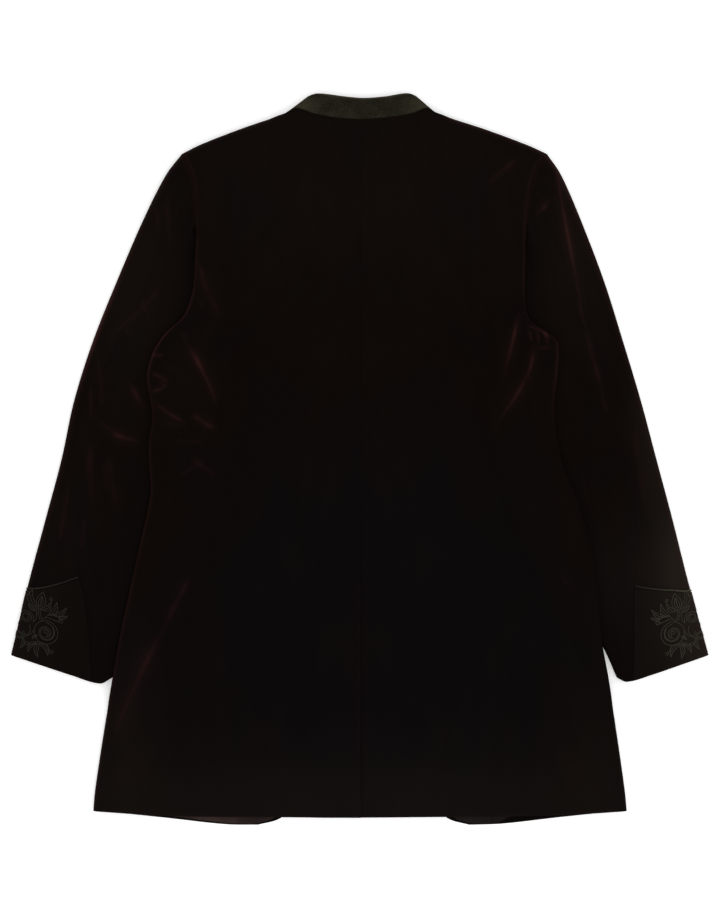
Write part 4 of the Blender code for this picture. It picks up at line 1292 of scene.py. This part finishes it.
def makeCollar():
    outer, v = collarGrid(0)
    inner, _ = collarGrid(-collarWall)
    toRim, toSeam = (1 - v) * collar["depth"], v * collar["depth"]
    shown = smooth((outer[..., 2] - collar["shownFrom"]) / 4)
    relief = -0.9 * bell(toRim, 0.9) - 0.55 * bell(toRim - collar["stitchDown"], 0.9)
    relief = relief - 0.3 * bell(toSeam, 0.8) + 0.35 * bell(toRim - 1.6, 1.2)
    outer[..., 2] += relief * shown
    # painted highlight along the rolled top edge and just above the seam, painted shade in the stitch
    # groove and right at the seam
    mark = 0.9 * bell(toRim - 0.8, 1.1) - 0.45 * bell(toRim - collar["stitchDown"], 0.9)
    away = np.abs(outer[..., 0] - collar["middle"])
    # lighter towards both ends of the band
    lighterToEnds = 0.5 * smooth((away - 42) / 26) + 0.3 * smooth((away - 70) / 20)
    mark = mark + lighterToEnds + 0.02 + 0.1 * bell(toSeam - 2.5, 1.5) - 0.4 * bell(toSeam, 1)
    piece = makeShell("collar_band", outer, inner, [felt, felt], {"nap": np.clip(mark, 0, 1)})
    finishPiece(piece, ["collar"])

    # small stitches along the top edge, sunk in their groove
    row = int(np.argmin(np.abs(toRim[:, 0] - collar["stitchDown"])))
    step = collar["stitchStep"]
    line = evenly(outer[row][outer[row][:, 2] > collar["shownFrom"]], step)
    period = int((collar["stitch"] + collar["stitchGap"]) / step)
    long = int(collar["stitch"] / step)
    paths = []
    for k in range(0, len(line) - long, period):
        part = line[k:k + long].copy()
        t = np.linspace(0, 1, len(part))
        part[:, 2] += 0.1 + 0.15 * np.sin(math.pi * t)
        paths.append((part, np.tile((0, 0, 1), (len(part), 1))))
    vertices, faces, uv, mark = cordMesh(paths, 0.28, 6, 2, 0.1)
    piece = makeMesh("collar_stitches", vertices, faces, uv, [scrollCord], None, {"nap": mark})
    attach(piece, "root")
    print("collar made")


# Lining strips that show on the fronts below the back's hem
lining = {"height": 0.13, "inset": 3.6, "side": 14, "seams": (-142.6, 150), "wrinkle": 0.5,
          "bright": {"left": (-172, 0.5, 0.8), "right": (122, 0, 0.12)}, "pastSeam": 0.6,
          "tuck": 9, "tuckFrom": {"left": 400, "right": 156}}


def makeLinings():
    for side in sides:
        bottom, top, left, right = panelLines(side, "front")
        span = tipY - hemY
        v = mix(lining["inset"] / span, lining["height"], np.linspace(0, 1, 44) ** 1.3)[:, None]
        width = np.linalg.norm(left(v) - right(v), axis=-1)
        u = mix(lining["side"] / width, 1 - 2 * lining["inset"] / width,
                np.linspace(0, 1, 90)[None, :])
        flat = patch(bottom, top, left, right, u, v + 0 * u)
        # past this place the strip keeps above the back's hem
        tuck = lining["tuck"] * smooth((flat[..., 0] - lining["tuckFrom"][side]) / 26)
        tuck = tuck * np.linspace(1, 0, len(v))[:, None]
        points = patch(bottom, top, left, right, u, v + tuck / span)
        low, _ = bodyHeights(points)
        x, y = points[..., 0], points[..., 1]
        wrinkle = lining["wrinkle"] * (0.6 * unevenness(x, y, 60, 0.7)
                                       + 0.4 * unevenness(x, 0.3 * y, 16, 2.9))
        seamX = lining["seams"][0 if side == "left" else 1]
        ditch = seamDitch(np.abs(x - seamX), 0.5, 1)
        base = low + wall + 2 * seamGap
        upper = base + liningWall + np.maximum(wrinkle, -0.4) + ditch
        outer, inner = withHeight(points, upper), withHeight(points, base)
        # painted sheen on the satin: bright near the given x, dimmer past the seam and uneven along the
        # strip
        past = smooth((x - seamX) / 4)
        place, low, more = lining["bright"][side]
        bright = (low + more * bell(x - place, 24)) * mix(1, lining["pastSeam"], past)
        bright = bright * (1 + 0.45 * unevenness(x, 0.4 * y, 34, 1.9))
        piece = makeShell("lining_strip_" + side, outer, inner, [satin, satin],
                          {"nap": np.clip(bright, 0, 1)}, None, side == "right")
        finishPiece(piece, ["lining_" + side])
    print("linings made")


# Studio: pale floor, soft light and the camera straight above
studio = {
    "lens": 135,
    "sensor": 36,
    "pictureHeight": 918,
    "millimetresPerPixel": 1.15,
    "planeZ": 10,
    "floor": (1, 1, 1, 1),
    "floorGlow": 0.27,
    "floorReach": 6,
    "cameraShift": 0.6,
    "world": 0.86,
    "softboxWatts": 18,
    "softboxSize": 2.2,
    "softboxPlace": (0.4, -0.5, 2.6),
}


def makeStudio():
    scene = bpy.context.scene
    scene.view_settings.view_transform = "Standard"
    camera = bpy.data.objects.new("camera", bpy.data.cameras.new("camera"))
    scene.collection.objects.link(camera)
    camera.data.lens = studio["lens"]
    camera.data.sensor_width = studio["sensor"]
    view = studio["pictureHeight"] * studio["millimetresPerPixel"] * mm
    distance = view * studio["lens"] / studio["sensor"]
    camera.location = (0, studio["cameraShift"] * mm, distance + studio["planeZ"] * mm)
    camera.data.clip_end = 50
    scene.camera = camera

    size = studio["floorReach"]
    mesh = bpy.data.meshes.new("studio_floor")
    mesh.from_pydata([(-size, -size, 0), (size, -size, 0), (size, size, 0),
                      (-size, size, 0)], [], [(0, 1, 2, 3)])
    ground = bpy.data.objects.new("studio_floor", mesh)
    scene.collection.objects.link(ground)
    paper = bpy.data.materials.new("studioFloor")
    paper.use_nodes = True
    shader = paper.node_tree.nodes["Principled BSDF"]
    # lit through from below, so that the shadows round the cloth stay faint
    for label, value in (("Base Color", studio["floor"]), ("Roughness", 0.9),
                         ("Specular IOR Level", 0), ("Emission Color", studio["floor"]),
                         ("Emission Strength", studio["floorGlow"])):
        shader.inputs[label].default_value = value
    mesh.materials.append(paper)

    world = bpy.data.worlds.new("studio")
    world.use_nodes = True
    sky = world.node_tree.nodes["Background"].inputs
    sky["Color"].default_value, sky["Strength"].default_value = (1, 1, 1, 1), studio["world"]
    scene.world = world
    light = bpy.data.objects.new("softbox", bpy.data.lights.new("softbox", "AREA"))
    light.data.energy, light.data.size = studio["softboxWatts"], studio["softboxSize"]
    light.data.shape = "DISK"
    light.location = studio["softboxPlace"]
    light.rotation_euler = (-Vector(studio["softboxPlace"])).to_track_quat("-Z", "Y").to_euler()
    scene.collection.objects.link(light)
    print("studio made")


makeStudio()
makeBody()
makeSleeves()
makeCuffs()
makeCords()
makeCollar()
makeLinings()
